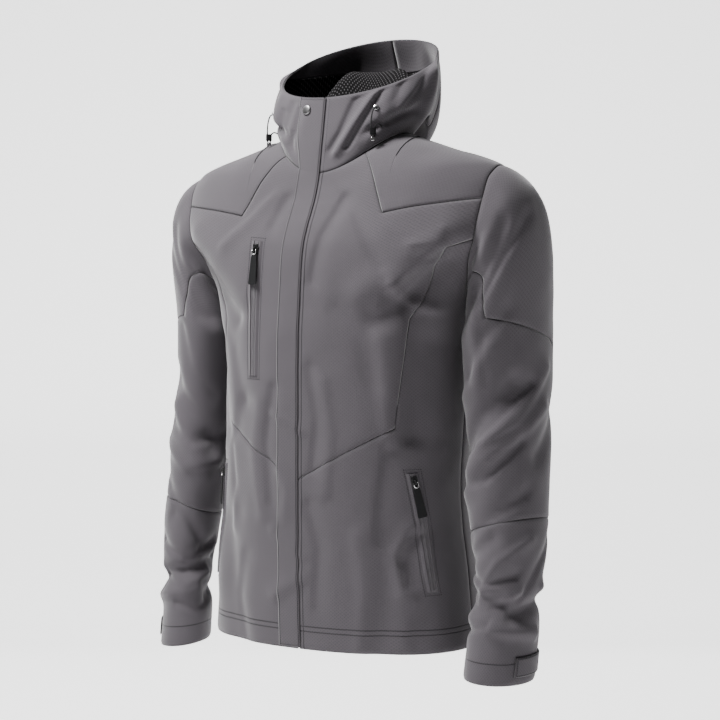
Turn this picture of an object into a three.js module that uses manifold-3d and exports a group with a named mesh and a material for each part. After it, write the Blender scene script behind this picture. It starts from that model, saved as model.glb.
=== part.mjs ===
// A hooded softshell jacket, zipped up and filled out as if worn, with the hood folded down behind the neck.
// Millimetres, +Z up. The wearer faces -Y, so the wearer's left is +X. The origin is the middle of the
// wearer's neck, level with the top of the shoulder seams, where the shoulders hold the jacket up.
// Each cloth piece is a thin wall cut from one of three shaped surfaces: the body, a sleeve or the hood.
// A surface is a function of two numbers, and a seam is a line of such pairs, which its neighbours share.

import * as THREE from "three";
import Module from "manifold-3d";

const wasm = await Module();
wasm.setup();

// Driving dimensions of the cloth
const CLOTH = 1.8; // softshell
const LINING = 1.0; // mesh lining of the hood
const SHARPEST = 0.25; // limits how far a sharp corner of a piece is drawn in
const SEAM = 0.15; // each piece stops this far short of a seam, which leaves 0.3 between two pieces
const LIFT = 0.4; // clearance under whatever lies on a piece, where both share their points
const OVER = 1.0; // the same, where the piece on top crosses the flats of the one below
const HEM = -723; // lowest level of the body
const UNDERARM = -252; // level where the side seam meets the armhole
const SIDE = 90; // the side seam runs down the body at this angle from the front

// Body sections, from the hem up. side: level at the side seam. width: half width. front, back: how far the
// section reaches. frontDrop, backDrop: how much lower the section lies there. square: 2 is an ellipse.
const BODY_SECTIONS = [
  { side: HEM, width: 204, front: 141, back: 130, frontDrop: 0, backDrop: 0, square: 2.3 },
  { side: -640, width: 197, front: 144, back: 124, frontDrop: 0, backDrop: 0, square: 2.3 },
  { side: -500, width: 182, front: 147, back: 117, frontDrop: 0, backDrop: 0, square: 2.3 },
  { side: -385, width: 188, front: 147, back: 121, frontDrop: 0, backDrop: 0, square: 2.3 },
  { side: -290, width: 190, front: 146, back: 125, frontDrop: 0, backDrop: 0, square: 2.3 },
  { side: -240, width: 199, front: 142, back: 127, frontDrop: -3, backDrop: 0, square: 2.3 },
  { side: -182, width: 232, front: 137, back: 126, frontDrop: -6, backDrop: 0, square: 2.25 },
  { side: -150, width: 256, front: 132, back: 123, frontDrop: -12, backDrop: 0, square: 2.2 },
  { side: -115, width: 270, front: 121, back: 116, frontDrop: -20, backDrop: -4, square: 2.15 },
  { side: -85, width: 268, front: 109, back: 106, frontDrop: -28, backDrop: -8, square: 2.15 },
  { side: -50, width: 243, front: 99, back: 94, frontDrop: -43, backDrop: -12, square: 2.2 },
  { side: -25, width: 172, front: 92, back: 81, frontDrop: -49, backDrop: -13, square: 2.2 },
  { side: 0, width: 98, front: 88, back: 68, frontDrop: -58, backDrop: -14, square: 2.1 },
];

// The armhole of the wearer's left side. turn: round the hole, 0 at the top and 90 at the front.
// angle, level: the place on the body, as bodyPoint takes it.
const ARMHOLE = [
  { turn: 0, angle: SIDE, level: -50 },
  { turn: 30, angle: 81, level: -65 },
  { turn: 60, angle: 77, level: -97 },
  { turn: 90, angle: 74.5, level: -139 },
  { turn: 120, angle: 77, level: -182 },
  { turn: 150, angle: 82.5, level: -224 },
  { turn: 180, angle: SIDE, level: UNDERARM },
  { turn: 210, angle: 97, level: -226 },
  { turn: 240, angle: 103, level: -184 },
  { turn: 270, angle: 105.5, level: -140 },
  { turn: 300, angle: 103.5, level: -98 },
  { turn: 330, angle: 99, level: -66 },
];
const ARMHOLE_STEP = 20; // degrees between the points that a sleeve and the body share

// Sleeve sections, from the cuff up. x, y: centre. thin, wide: half sizes. twist: how far the wide way is
// turned outwards from the front-to-back line. tip: how much lower the outer side is.
const SLEEVE_SECTIONS = [
  { z: -752, x: 262, y: -43, thin: 38, wide: 54, twist: 30, tip: 5 },
  { z: -700, x: 264, y: -34, thin: 37, wide: 54, twist: 30, tip: 3 },
  { z: -654, x: 267, y: -27, thin: 36, wide: 49, twist: 28, tip: 0 },
  { z: -625, x: 267, y: -24, thin: 39, wide: 53, twist: 26, tip: 0 },
  { z: -577, x: 266, y: -18, thin: 42, wide: 58, twist: 25, tip: 0 },
  { z: -524, x: 261, y: -10, thin: 45, wide: 63, twist: 22, tip: 0 },
  { z: -452, x: 256, y: -1, thin: 48, wide: 68, twist: 20, tip: 0 },
  { z: -400, x: 253, y: 7, thin: 49, wide: 71, twist: 18, tip: 0 },
  { z: -340, x: 250, y: 11, thin: 49, wide: 76, twist: 16, tip: 0 },
  { z: -290, x: 248, y: 13, thin: 50, wide: 80, twist: 15, tip: 0 },
];
const CAP_END = -290; // the sleeve cap turns down from the armhole and meets the straight sleeve here
const CUFF = -752;

// The hood's edge is a leaning ellipse round the face. It rises from the chin to the back.
const RIM = { width: 119, depth: 102, middle: 33, chin: 50, rise: 0.52 };
// The folded-down hood at the back of the neck, as steps out from the neck seam and up from it: up the neck,
// over the ridge, down into the bag, round its foot and up the outside to the rim.
const HOOD_BACK = [
  { out: 0, up: 0 },
  { out: 4, up: 58 },
  { out: 18, up: 112 },
  { out: 38, up: 74 },
  { out: 58, up: 2 },
  { out: 88, up: 34 },
  { out: 90, up: 112 },
];
const HOOD_ROLL = { from: 80, over: 100 }; // degrees from the front: where the folded shape begins, and grows
const HOOD_BULGE = { out: 13, from: 8, to: 60 }; // how far the collar stands out, growing from the front edge
// The crease under the roll of the hood: its place and width along the hood, and its reach in degrees
const CREASE = { along: 0.36, width: 0.09, depth: 7, from: 28, to: 128, grow: 20, end: 30 };

// Folds as soft troughs and ridges. On the body they run in the front view, x and z. On a sleeve they run
// along the turn round the arm and z. width: half width of the fold. depth: outwards, negative for a trough.
const BODY_FOLDS = [
  { face: 1, x0: 222, z0: -176, x1: 118, z1: -262, width: 17, depth: -8 },
  { face: 1, x0: 206, z0: -142, x1: 92, z1: -226, width: 22, depth: 5 },
  { face: 1, x0: 176, z0: -300, x1: 150, z1: -420, width: 20, depth: -7 },
  { face: 1, x0: 140, z0: -560, x1: 118, z1: -720, width: 24, depth: -6 },
  { face: 1, x0: 182, z0: -500, x1: 160, z1: -640, width: 24, depth: 4 },
  { face: -1, x0: 206, z0: -170, x1: 110, z1: -300, width: 22, depth: -7 },
  { face: -1, x0: 150, z0: -330, x1: 60, z1: -430, width: 24, depth: -6 },
  { face: -1, x0: 90, z0: -540, x1: 70, z1: -720, width: 26, depth: -6 },
];
const SLEEVE_FOLDS = [
  { turn0: 95, z0: -150, turn1: 150, z1: -250, width: 13, depth: 6 },
  { turn0: 62, z0: -130, turn1: 118, z1: -262, width: 14, depth: -5 },
  { turn0: 30, z0: -352, turn1: 128, z1: -452, width: 17, depth: -9 },
  { turn0: 48, z0: -392, turn1: 118, z1: -500, width: 18, depth: 6 },
  { turn0: -60, z0: -380, turn1: -10, z1: -450, width: 16, depth: -6 },
  { turn0: 180, z0: -420, turn1: 240, z1: -500, width: 18, depth: -7 },
  { turn0: 60, z0: -560, turn1: 150, z1: -610, width: 13, depth: -5 },
  { turn0: 40, z0: -648, turn1: 190, z1: -628, width: 11, depth: -8 },
  { turn0: -80, z0: -640, turn1: 20, z1: -662, width: 11, depth: -7 },
  { turn0: -30, z0: -690, turn1: 120, z1: -668, width: 10, depth: 6 },
  { turn0: 150, z0: -680, turn1: 290, z1: -655, width: 12, depth: -7 },
];

// Seam corners in the front view, x and z: the yoke, the waist seam and the side panel
const YOKE_CORNER = [115, -117];
const YOKE_NECK = 65; // x where the yoke seams meet the neck
const YOKE_LEVEL = -92; // side level of the yoke corner's row at the centre front
const YOKE_FRONT = 60; // turns of the armhole where the yoke ends
const YOKE_BACK = 300;
const WAIST_CORNER = [134, -412];
const WAIST_FRONT = -488;
const PANEL_LINE = [[141, -357], [153, -263], [186, -190]]; // front seam of the side panel, going up
const PANEL_TOP_INNER = [203, -166];
const PANEL_TOP = 100; // turn of the armhole where the side panel ends

// The cap of the sleeve ends on this line: turn, and 0 to 1 from the armhole to the cap's end
const CAP_SEAM = [
  { turn: 68, along: 0.85 },
  { turn: 15, along: 0.93 },
  { turn: -40, along: 1.02 },
  { turn: -75, along: 0.97 },
];
const CAP_STEPS = [5, 5, 4];
const UNDER_FRONT = 140; // turn of the armhole where the cap's seam starts, front and back
const ELBOW = { outer: -533, inner: -560 };

const PER_DEGREE = 1.05; // millimetres round the arm for a degree of turn, for the sleeve's folds
const FOLD_LEAN = 0.6; // the body's folds stand out less to the side than to the front
const LEAN_LEAST = 0.6; // limits how far a cut edge leans where two surfaces meet

// Steps of the mesh along each stretch
const STEPS = {
  across: 6, panel: 4, lower: 8, side: 4, yokeRise: 3, neck: 6,
  cap: 4, gusset: 3, mid: 6, forearm: 7, hood: 16, front: 20, collar: 5,
};

// Inside the hood: a facing along the rim and a lining below it, in rows of the hood's mesh from the neck.
// first: the column of the mesh, counted from the front edge, where both begin
const FACING = { foot: 1, from: 14, to: 16, first: 1, thick: 1.4 };

// Front closing
const ZIP_HALF = 3; // half width of the main zip's teeth
const ZIP_RUN = { foot: 0.004, head: 1.97 }; // 0 at the hem, 1 at the neck seam, 2 at the rim
const FRONT_EDGE = 3.3; // each front stops here, beside the teeth
// The storm flap over the zip: x of its seam and free edge, and of its seam at the top of the collar.
// It widens along the collar, between two places counted like those of the zip.
const FLAP = { seam: -32, edge: 1.5, topSeam: -43, foot: 0.003, head: 1.985, thick: 2.2 };
const FLAP_GROWS = { from: 0.93, to: 1.6 };
const SNAP = { x: -27, along: 1.82, radius: 6.3, height: 2.6 };

// Zip pockets: where each zip runs in the front view, its width, its slider and its pull. tab: the pull's
// length. lean: how far below the slider the zip gives the pull its direction.
const POCKET_ZIPS = [
  { name: "chest_zip", mirror: true, top: [75, -154], foot: [76, -343], tab: 50, lean: 33.6 },
  { name: "hand_zip_left", mirror: false, top: [153, -474], foot: [179, -638], tab: 50, lean: 27.2 },
  { name: "hand_zip_right", mirror: true, top: [153, -474], foot: [179, -638], tab: 50, lean: 27.2 },
];
const ZIP = { half: 6.3, thick: 1.2, steps: 12 };
// Slider: a plate and a bridge along it. axis: height of the pull's bar. inset: from the zip's top end.
const SLIDER = {
  half: 4.5, long: 15, plate: 1.8, bridge: 0.9, arch: 7.2, post: 1.3, high: 5.6, corner: 1,
  axis: 3.05, inset: 12,
};
// Pull: its eye round the bar, a narrow neck, then a grip that widens from its waist to its foot
const PULL = {
  thick: 1.4, bar: 1.5, eye: 5.2, eyeHalf: 1.55, neck: 3.3, shoulder: 2, flare: 4, waist: 4.8, foot: 7,
  corner: 2.4,
};

// Cuff tab: its upper and lower level. It begins at the back of the underarm and covers this many columns
// of the sleeve's mesh after the cap's back corner.
const CUFF_TAB = { top: -716, foot: -742, thick: 1.6, columns: 9 };

// Hood drawcords: a thin cord leaves its eyelet, passes down through a lock into a metal end, and its return
// strand goes up through the lock again and into the seam at the side of the neck.
const CORD = { radius: 1, sides: 8, steps: 12 };
const CORDS = {
  left: {
    eyelet: { angle: 41, along: 0.68 },
    down: [
      [77.9, -58.9, 32.5], [78.9, -61.2, 33.4], [79.2, -63.8, 32.7], [78.2, -66.2, 30.0], [76.8, -67.8, 25.0],
      [75.9, -68.8, 18.0], [75.6, -69.1, 10.0], [75.6, -68.8, 3.0], [75.6, -68.2, -3.0], [75.6, -67.8, -9.0],
    ],
    back: [
      [79.1, -65.8, -9.0], [79.1, -66.0, -4.0], [79.3, -65.8, 1.5], [80.1, -64.8, 6.0], [81.7, -62.4, 9.0],
      [83.2, -59.2, 8.8], [84.0, -56.6, 6.9], [84.2, -55.4, 5.7],
    ],
    lock: [77.4, -67.3, -2.0],
  },
  right: {
    eyelet: { angle: -64, along: 0.5 },
    down: [
      [-109.0, -32.9, 34.0], [-111.2, -33.8, 33.2], [-113.4, -35.2, 30.6], [-114.4, -37.0, 25.5],
      [-114.4, -39.2, 18.5], [-113.6, -41.4, 11.5], [-112.8, -42.8, 4.5], [-112.2, -43.4, -1.5],
      [-112.0, -43.6, -7.0],
    ],
    back: [
      [-108.5, -41.6, -7.0], [-108.6, -41.5, -2.5], [-108.2, -41.0, 2.0], [-106.4, -40.0, 5.4],
      [-103.6, -38.6, 6.9], [-100.6, -37.2, 6.0], [-98.4, -36.1, 4.4],
    ],
    lock: [-110.3, -42.6, -0.5],
  },
};
// Lock and metal end: half sizes across the two strands and front to back, and how far they go down and up
const LOCK = { across: 4.4, deep: 3, down: 4.6, up: 5, hole: 1.35 };
const CORD_END = { across: 3.3, deep: 2.2, gap: 0.3, long: 5.5 };
const EYELET = { outer: 4.2, inner: 1.7, thick: 1.1 };

const rad = THREE.MathUtils.degToRad;
const mix = THREE.MathUtils.lerp;
const ease = THREE.MathUtils.smoothstep;

// A smooth curve through a table's column that never overshoots it
function tableCurve(rows, key, column) {
  const x = rows.map((row) => row[key]);
  const y = rows.map((row) => row[column]);
  const rate = x.slice(1).map((_, i) => (y[i + 1] - y[i]) / (x[i + 1] - x[i]));
  const slope = x.map((_, i) => {
    if (i === 0) return rate[0];
    if (i === x.length - 1) return rate[i - 1];
    const product = rate[i - 1] * rate[i];
    return product <= 0 ? 0 : (2 * product) / (rate[i - 1] + rate[i]);
  });
  return (at) => {
    const clamped = Math.min(Math.max(at, x[0]), x[x.length - 1]);
    let i = 0;
    while (i < x.length - 2 && clamped > x[i + 1]) i += 1;
    const h = x[i + 1] - x[i];
    const t = (clamped - x[i]) / h;
    return (
      (1 + 2 * t) * (1 - t) ** 2 * y[i] +
      t * (1 - t) ** 2 * h * slope[i] +
      t * t * (3 - 2 * t) * y[i + 1] +
      t * t * (t - 1) * h * slope[i + 1]
    );
  };
}

function curvesOf(rows, key) {
  const columns = Object.keys(rows[0]).filter((column) => column !== key);
  return Object.fromEntries(columns.map((column) => [column, tableCurve(rows, key, column)]));
}

const body = curvesOf(BODY_SECTIONS, "side");
const arm = curvesOf(SLEEVE_SECTIONS, "z");

// Height of a set of folds at a point of the plane in which they are drawn
function foldsAt(folds, ends, a, b) {
  return folds.reduce((sum, fold) => {
    const [a0, b0, a1, b1] = ends(fold);
    const length2 = (a1 - a0) ** 2 + (b1 - b0) ** 2;
    const along = THREE.MathUtils.clamp(((a - a0) * (a1 - a0) + (b - b0) * (b1 - b0)) / length2, 0, 1);
    const away = Math.hypot(a - mix(a0, a1, along), b - mix(b0, b1, along));
    return sum + fold.depth * Math.exp(-((away / fold.width) ** 2));
  }, 0);
}

// Body surface: angle in degrees from the front centre towards the wearer's left, and level at the side
function bodyPoint(angle, level) {
  const [c, s] = [Math.cos(rad(angle)), Math.sin(rad(angle))];
  const reach = c > 0 ? body.front(level) : body.back(level);
  const drop = c > 0 ? body.frontDrop(level) : body.backDrop(level);
  const n = body.square(level);
  const r = (Math.abs(c / reach) ** n + Math.abs(s / body.width(level)) ** n) ** (-1 / n);
  const point = new THREE.Vector3(r * s, -r * c, level + drop * c * c);
  const face = c > 0 ? 1 : -1;
  const own = BODY_FOLDS.filter((fold) => fold.face === face);
  const ends = (fold) => [fold.x0, fold.z0, fold.x1, fold.z1];
  const fade = ease(Math.abs(c), 0.05, 0.4) * ease(Math.abs(point.x), 45, 90) * ease(-point.z, 60, 130);
  const fold = foldsAt(own, ends, Math.abs(point.x), point.z) * fade;
  return point.add(new THREE.Vector3(s * FOLD_LEAN, -c, 0).normalize().multiplyScalar(fold));
}

// The angle at which a section of the body passes a given distance from the middle plane
function angleAt(x, level, face) {
  let [low, high] = [0, 90];
  for (let i = 0; i < 40; i += 1) {
    const middle = (low + high) / 2;
    const angle = face > 0 ? middle : 180 - middle;
    if (bodyPoint(angle, level).x < x) low = middle;
    else high = middle;
  }
  return face > 0 ? low : 180 - low;
}

// The body pair of numbers of a point given in the front view (face 1) or back view (face -1)
function onBody(x, z, face = 1) {
  let level = z;
  for (let i = 0; i < 60; i += 1) {
    const error = z - bodyPoint(angleAt(x, level, face), level).z;
    level = Math.min(level + 0.7 * error, 0);
  }
  return [angleAt(x, level, face), level];
}

// The side level, near the shoulder, at which a given angle of the body passes a distance from the middle
function levelAt(x, angle) {
  let [low, high] = [-115, 0];
  for (let i = 0; i < 40; i += 1) {
    const middle = (low + high) / 2;
    if (bodyPoint(angle, middle).x > x) low = middle;
    else high = middle;
  }
  return low;
}

const armholeCurve = new THREE.CatmullRomCurve3(
  ARMHOLE.map((row) => new THREE.Vector3(row.angle, row.level, 0)),
  true,
  "catmullrom",
  0.5,
);

// The body pair of numbers where the armhole passes at a turn
function onArmhole(turn) {
  const place = armholeCurve.getPoint(THREE.MathUtils.euclideanModulo(turn, 360) / 360);
  return [place.x, place.y];
}

const armholePoints = new Map();
function armholePoint(turn) {
  const key = Math.round(THREE.MathUtils.euclideanModulo(turn, 360) * 100);
  if (!armholePoints.has(key)) armholePoints.set(key, bodyPoint(...onArmhole(turn)));
  return armholePoints.get(key).clone();
}

function straightSleeve(turn, z) {
  const [c, s, tw] = [Math.cos(rad(turn)), Math.sin(rad(turn)), rad(arm.twist(z))];
  const [across, along] = [arm.thin(z) * c, -arm.wide(z) * s];
  const x = arm.x(z) + across * Math.cos(tw) + along * Math.sin(tw);
  const y = arm.y(z) - across * Math.sin(tw) + along * Math.cos(tw);
  return new THREE.Vector3(x, y, z - arm.tip(z) * c);
}

// Sleeve surface: turn in degrees from the outer side over the front, then 0 to 1 down the cap, 1 to 2 below
function sleevePoint(turn, along) {
  const point = new THREE.Vector3();
  if (along >= 1) {
    point.copy(straightSleeve(turn, mix(CAP_END, CUFF, along - 1)));
  } else {
    const [start, end] = [armholePoint(turn), straightSleeve(turn, CAP_END)];
    const length = start.distanceTo(end);
    const outer = (1 + Math.cos(rad(turn))) / 2;
    const leave = new THREE.Vector3(0.95, 0.1 * outer, -0.3).multiplyScalar(length * mix(0.7, 1.15, outer));
    const arrive = new THREE.Vector3(0.03, 0, -1).multiplyScalar(length * mix(0.8, 1.05, outer));
    const t = along;
    point
      .addScaledVector(start, (1 + 2 * t) * (1 - t) ** 2)
      .addScaledVector(leave, t * (1 - t) ** 2)
      .addScaledVector(end, t * t * (3 - 2 * t))
      .addScaledVector(arrive, t * t * (t - 1));
  }
  const near = (value, centre) => value + 360 * Math.round((centre - value) / 360);
  const ends = (fold) => {
    const shift = near(turn, (fold.turn0 + fold.turn1) / 2) - turn;
    return [(fold.turn0 - shift) * PER_DEGREE, fold.z0, (fold.turn1 - shift) * PER_DEGREE, fold.z1];
  };
  const fade = ease(along, 0.06, 0.35) * (1 - ease(along, 1.9, 1.97));
  const fold = foldsAt(SLEEVE_FOLDS, ends, turn * PER_DEGREE, point.z) * fade;
  const tw = rad(arm.twist(point.z));
  const [c, s] = [Math.cos(rad(turn)), Math.sin(rad(turn))];
  const outward = new THREE.Vector3(
    c * Math.cos(tw) - s * Math.sin(tw),
    -c * Math.sin(tw) - s * Math.cos(tw),
    0,
  );
  return point.addScaledVector(outward, fold);
}

function rimPoint(angle) {
  const y = RIM.middle - RIM.depth * Math.cos(rad(angle));
  return new THREE.Vector3(
    RIM.width * Math.sin(rad(angle)),
    y,
    RIM.chin + (y - RIM.middle + RIM.depth) * RIM.rise,
  );
}

// Hood surface: angle from the front centre, and 0 at the neck seam to 1 at the rim
function hoodPoint(angle, along) {
  const [seam, rim] = [bodyPoint(angle, 0), rimPoint(angle)];
  const outward = new THREE.Vector3(Math.sin(rad(angle)), -Math.cos(rad(angle)), 0);
  const side = Math.abs(THREE.MathUtils.euclideanModulo(angle + 180, 360) - 180);
  const grown = ease(side, HOOD_ROLL.from, HOOD_ROLL.from + HOOD_ROLL.over);
  const bulge = HOOD_BULGE.out * ease(side, HOOD_BULGE.from, HOOD_BULGE.to);
  const stops = HOOD_BACK.map((stop, i) => {
    const share = i / HOOD_BACK.length;
    const straight = seam.clone().lerp(rim, share);
    straight.addScaledVector(outward, bulge * Math.sin(Math.PI * share));
    const folded = seam.clone().addScaledVector(outward, stop.out).add(new THREE.Vector3(0, 0, stop.up));
    return straight.lerp(folded, grown);
  });
  const curve = new THREE.CatmullRomCurve3([...stops, rim], false, "catmullrom", 0.5);
  const point = curve.getPoint(along);
  const begun = ease(side, CREASE.from, CREASE.from + CREASE.grow);
  const reach = begun * (1 - ease(side, CREASE.to - CREASE.end, CREASE.to));
  const crease = CREASE.depth * reach * Math.exp(-(((along - CREASE.along) / CREASE.width) ** 2));
  return point.addScaledVector(outward, -crease);
}

// The front closing runs over body and collar: x across, then 0 to 1 up to the neck and 1 to 2 to the rim
function frontPoint(x, along) {
  const sign = Math.sign(x) || 1;
  const size = Math.abs(x);
  if (along <= 1) {
    const level = mix(HEM, 0, along);
    const point = bodyPoint(angleAt(size, level, 1), level);
    return new THREE.Vector3(sign * point.x, point.y, point.z);
  }
  let [low, high] = [0, 60];
  for (let i = 0; i < 30; i += 1) {
    const middle = (low + high) / 2;
    if (hoodPoint(middle, along - 1).x < size) low = middle;
    else high = middle;
  }
  const point = hoodPoint(low, along - 1);
  return new THREE.Vector3(sign * point.x, point.y, point.z);
}

// Outward direction of a surface. low, high: the range of its second number
function normalOf(surface, u, v, du, dv, low = -Infinity, high = Infinity) {
  const across = surface(u + du, v).sub(surface(u - du, v));
  const up = surface(u, Math.min(v + dv, high)).sub(surface(u, Math.max(v - dv, low)));
  return across.cross(up).normalize();
}

const SURFACES = {
  body: { point: bodyPoint, du: 0.4, dv: 0.5, low: -Infinity, high: Infinity },
  sleeve: { point: sleevePoint, du: 0.4, dv: 0.004, low: -Infinity, high: Infinity },
  hood: { point: hoodPoint, du: 0.4, dv: 0.004, low: 0, high: 1 },
  front: { point: frontPoint, du: 0.4, dv: 0.003, low: 0, high: 2 },
};

function surfaceNormal(name, u, v) {
  const { point, du, dv, low, high } = SURFACES[name];
  return normalOf(point, u, v, du, dv, low, high);
}

// Where two surfaces meet, both walls lean halfway, so that their cut edges stay parallel
const seamLeans = new Map();
const placeKey = (point) => point.toArray().map((value) => Math.round(value * 200)).join();
function leanTogether(point, first, second) {
  const lean = first.clone().add(second).normalize();
  lean.divideScalar(Math.max(LEAN_LEAST, lean.dot(first)));
  for (const side of [1, -1]) {
    const turned = new THREE.Vector3(side, 1, 1);
    seamLeans.set(placeKey(point.clone().multiply(turned)), lean.clone().multiply(turned));
  }
}

// A grid of pairs of numbers between four edges that meet at their ends
function between(bottom, right, top, left) {
  const [columns, rows] = [bottom.length - 1, left.length - 1];
  return Array.from({ length: rows + 1 }, (_, j) =>
    Array.from({ length: columns + 1 }, (_, i) => {
      const [s, t] = [i / columns, j / rows];
      return [0, 1].map(
        (k) =>
          (1 - t) * bottom[i][k] +
          t * top[i][k] +
          (1 - s) * left[j][k] +
          s * right[j][k] -
          (1 - s) * (1 - t) * bottom[0][k] -
          s * (1 - t) * bottom[columns][k] -
          (1 - s) * t * top[0][k] -
          s * t * top[columns][k],
      );
    }),
  );
}

// A line of pairs through given corners, with a number of steps for each stretch
function line(corners, steps, place = (a, b) => [a, b]) {
  const points = [place(...corners[0])];
  for (let leg = 0; leg < steps.length; leg += 1) {
    const [from, to] = [corners[leg], corners[leg + 1]];
    for (let i = 1; i <= steps[leg]; i += 1) {
      const t = i / steps[leg];
      points.push(place(mix(from[0], to[0], t), mix(from[1], to[1], t)));
    }
  }
  return points;
}

function solidFrom(positions, triangles) {
  const geometry = new THREE.BufferGeometry();
  geometry.setAttribute("position", new THREE.Float32BufferAttribute(positions, 3));
  geometry.setIndex(triangles);
  geometry.computeVertexNormals();
  return geometry;
}

// A closed wall of cloth over one or more grids of one surface. from, to: how far its inner and outer face
// lie outside the surface. The grids' outline is drawn in by the seam allowance.
function wall(grids, surfaceName, from, to, seam = SEAM, mirror = false) {
  const surface = SURFACES[surfaceName];
  const found = new Map();
  const [points, normals, quads] = [[], [], []];
  const vertex = ([u, v]) => {
    const point = surface.point(u, v);
    const key = placeKey(point);
    if (!found.has(key)) {
      found.set(key, points.length);
      points.push(point);
      normals.push(seamLeans.get(key) ?? surfaceNormal(surfaceName, u, v));
    }
    return found.get(key);
  };
  for (const grid of grids) {
    const index = grid.map((row) => row.map(vertex));
    for (let j = 0; j + 1 < grid.length; j += 1)
      for (let i = 0; i + 1 < grid[j].length; i += 1)
        quads.push([index[j][i], index[j][i + 1], index[j + 1][i + 1], index[j + 1][i]]);
  }
  const faces = quads
    .flatMap(([a, b, c, d]) =>
      points[a].distanceTo(points[c]) < points[b].distanceTo(points[d])
        ? [[a, b, c], [a, c, d]]
        : [[a, b, d], [b, c, d]],
    )
    .filter(([a, b, c]) => a !== b && b !== c && c !== a);
  const edges = new Map();
  for (const [a, b, c] of faces)
    for (const [p, q] of [[a, b], [b, c], [c, a]])
      if (!edges.delete(`${q},${p}`)) edges.set(`${p},${q}`, [p, q]);
  const inward = points.map(() => []);
  for (const [p, q] of edges.values()) {
    const along = points[q].clone().sub(points[p]);
    for (const end of [p, q]) inward[end].push(normals[end].clone().cross(along).normalize());
  }
  const drawn = points.map((point, i) => {
    if (!inward[i].length) return point;
    const sum = inward[i].reduce((total, way) => total.add(way), new THREE.Vector3()).normalize();
    return point.clone().addScaledVector(sum, seam / Math.max(SHARPEST, sum.dot(inward[i][0])));
  });
  const layer = (height) => drawn.map((point, i) => point.clone().addScaledVector(normals[i], height));
  const positions = [...layer(to), ...layer(from)].flatMap((point) => point.toArray());
  const under = points.length;
  const triangles = faces.flatMap(([a, b, c]) => [a, b, c, c + under, b + under, a + under]);
  const order = new THREE.Vector3(0, 0.01, 1);
  for (const [p, q] of edges.values()) {
    const fromP = points[p].dot(order) < points[q].dot(order);
    if (fromP) triangles.push(q, p, q + under, p, p + under, q + under);
    else triangles.push(q, p, p + under, q, p + under, q + under);
  }
  return mirror ? mirrored(solidFrom(positions, triangles)) : solidFrom(positions, triangles);
}

// The same piece for the wearer's other side
function mirrored(geometry) {
  const copy = geometry.clone();
  copy.applyMatrix4(new THREE.Matrix4().makeScale(-1, 1, 1));
  const index = copy.index.array;
  for (let i = 0; i < index.length; i += 3) [index[i + 1], index[i + 2]] = [index[i + 2], index[i + 1]];
  copy.computeVertexNormals();
  return copy;
}

function asManifold(geometry) {
  const vertProperties = new Float32Array(geometry.attributes.position.array);
  const triVerts = new Uint32Array(geometry.index.array);
  return new wasm.Manifold(new wasm.Mesh({ numProp: 3, vertProperties, triVerts }));
}

function fromManifold(solid) {
  const mesh = solid.getMesh();
  return solidFrom(Array.from(mesh.vertProperties), Array.from(mesh.triVerts));
}

// A geometry of three.js with its shared corners merged, ready for a cut
function merged(geometry) {
  const source = (geometry.index ? geometry.toNonIndexed() : geometry).attributes.position;
  const found = new Map();
  const [positions, triangles] = [[], []];
  for (let i = 0; i < source.count; i += 1) {
    const corner = [source.getX(i), source.getY(i), source.getZ(i)];
    const key = corner.map((value) => Math.round(value * 1000)).join();
    if (!found.has(key)) {
      found.set(key, positions.length / 3);
      positions.push(...corner);
    }
    triangles.push(found.get(key));
  }
  const kept = [];
  for (let i = 0; i < triangles.length; i += 3) {
    const [a, b, c] = triangles.slice(i, i + 3);
    if (a !== b && b !== c && c !== a) kept.push(a, b, c);
  }
  return solidFrom(positions, kept);
}

const jacket = new THREE.Group();
jacket.name = "softshell_jacket";

const FINISHES = {
  softshell: { color: 0x6b676c, roughness: 0.85, metalness: 0 },
  lining: { color: 0x151517, roughness: 0.95, metalness: 0 },
  zip: { color: 0x4a484c, roughness: 0.7, metalness: 0 },
  rubber: { color: 0x2a2a2d, roughness: 0.6, metalness: 0 },
  plastic: { color: 0x1b1b1d, roughness: 0.4, metalness: 0 },
  metal: { color: 0x8d8a8c, roughness: 0.3, metalness: 1 },
  cord: { color: 0x1a1a1c, roughness: 0.8, metalness: 0 },
};

function add(name, geometry, finish) {
  const mesh = new THREE.Mesh(geometry, new THREE.MeshStandardMaterial(FINISHES[finish]));
  mesh.name = name;
  jacket.add(mesh);
  return mesh;
}

function addPair(name, grids, surface, finish = "softshell", from = -CLOTH, to = 0) {
  add(`${name}_left`, wall(grids, surface, from, to), finish);
  add(`${name}_right`, wall(grids, surface, from, to, SEAM, true), finish);
}

const neckAngle = angleAt(YOKE_NECK, 0, 1);
const backNeckAngle = angleAt(YOKE_NECK, 0, -1);
const onFrontEdge = (at) => [angleAt(FRONT_EDGE, at, 1), at];
const seamLine = (corners, steps) => line(corners, steps, (x, z) => onBody(x, z));
const acrossMiddle = (edge) => edge.map(([angle, at]) => [360 - angle, at]);
const armholeLine = (from, to) =>
  line([[from, 0], [to, 0]], [Math.round(Math.abs(to - from) / ARMHOLE_STEP)], (turn) => onArmhole(turn));
const hoodEdge = (along) => {
  let [low, high] = [0, 20];
  for (let i = 0; i < 30; i += 1) {
    const middle = (low + high) / 2;
    if (hoodPoint(middle, along).x < FRONT_EDGE) low = middle;
    else high = middle;
  }
  return [low, along];
};

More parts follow.
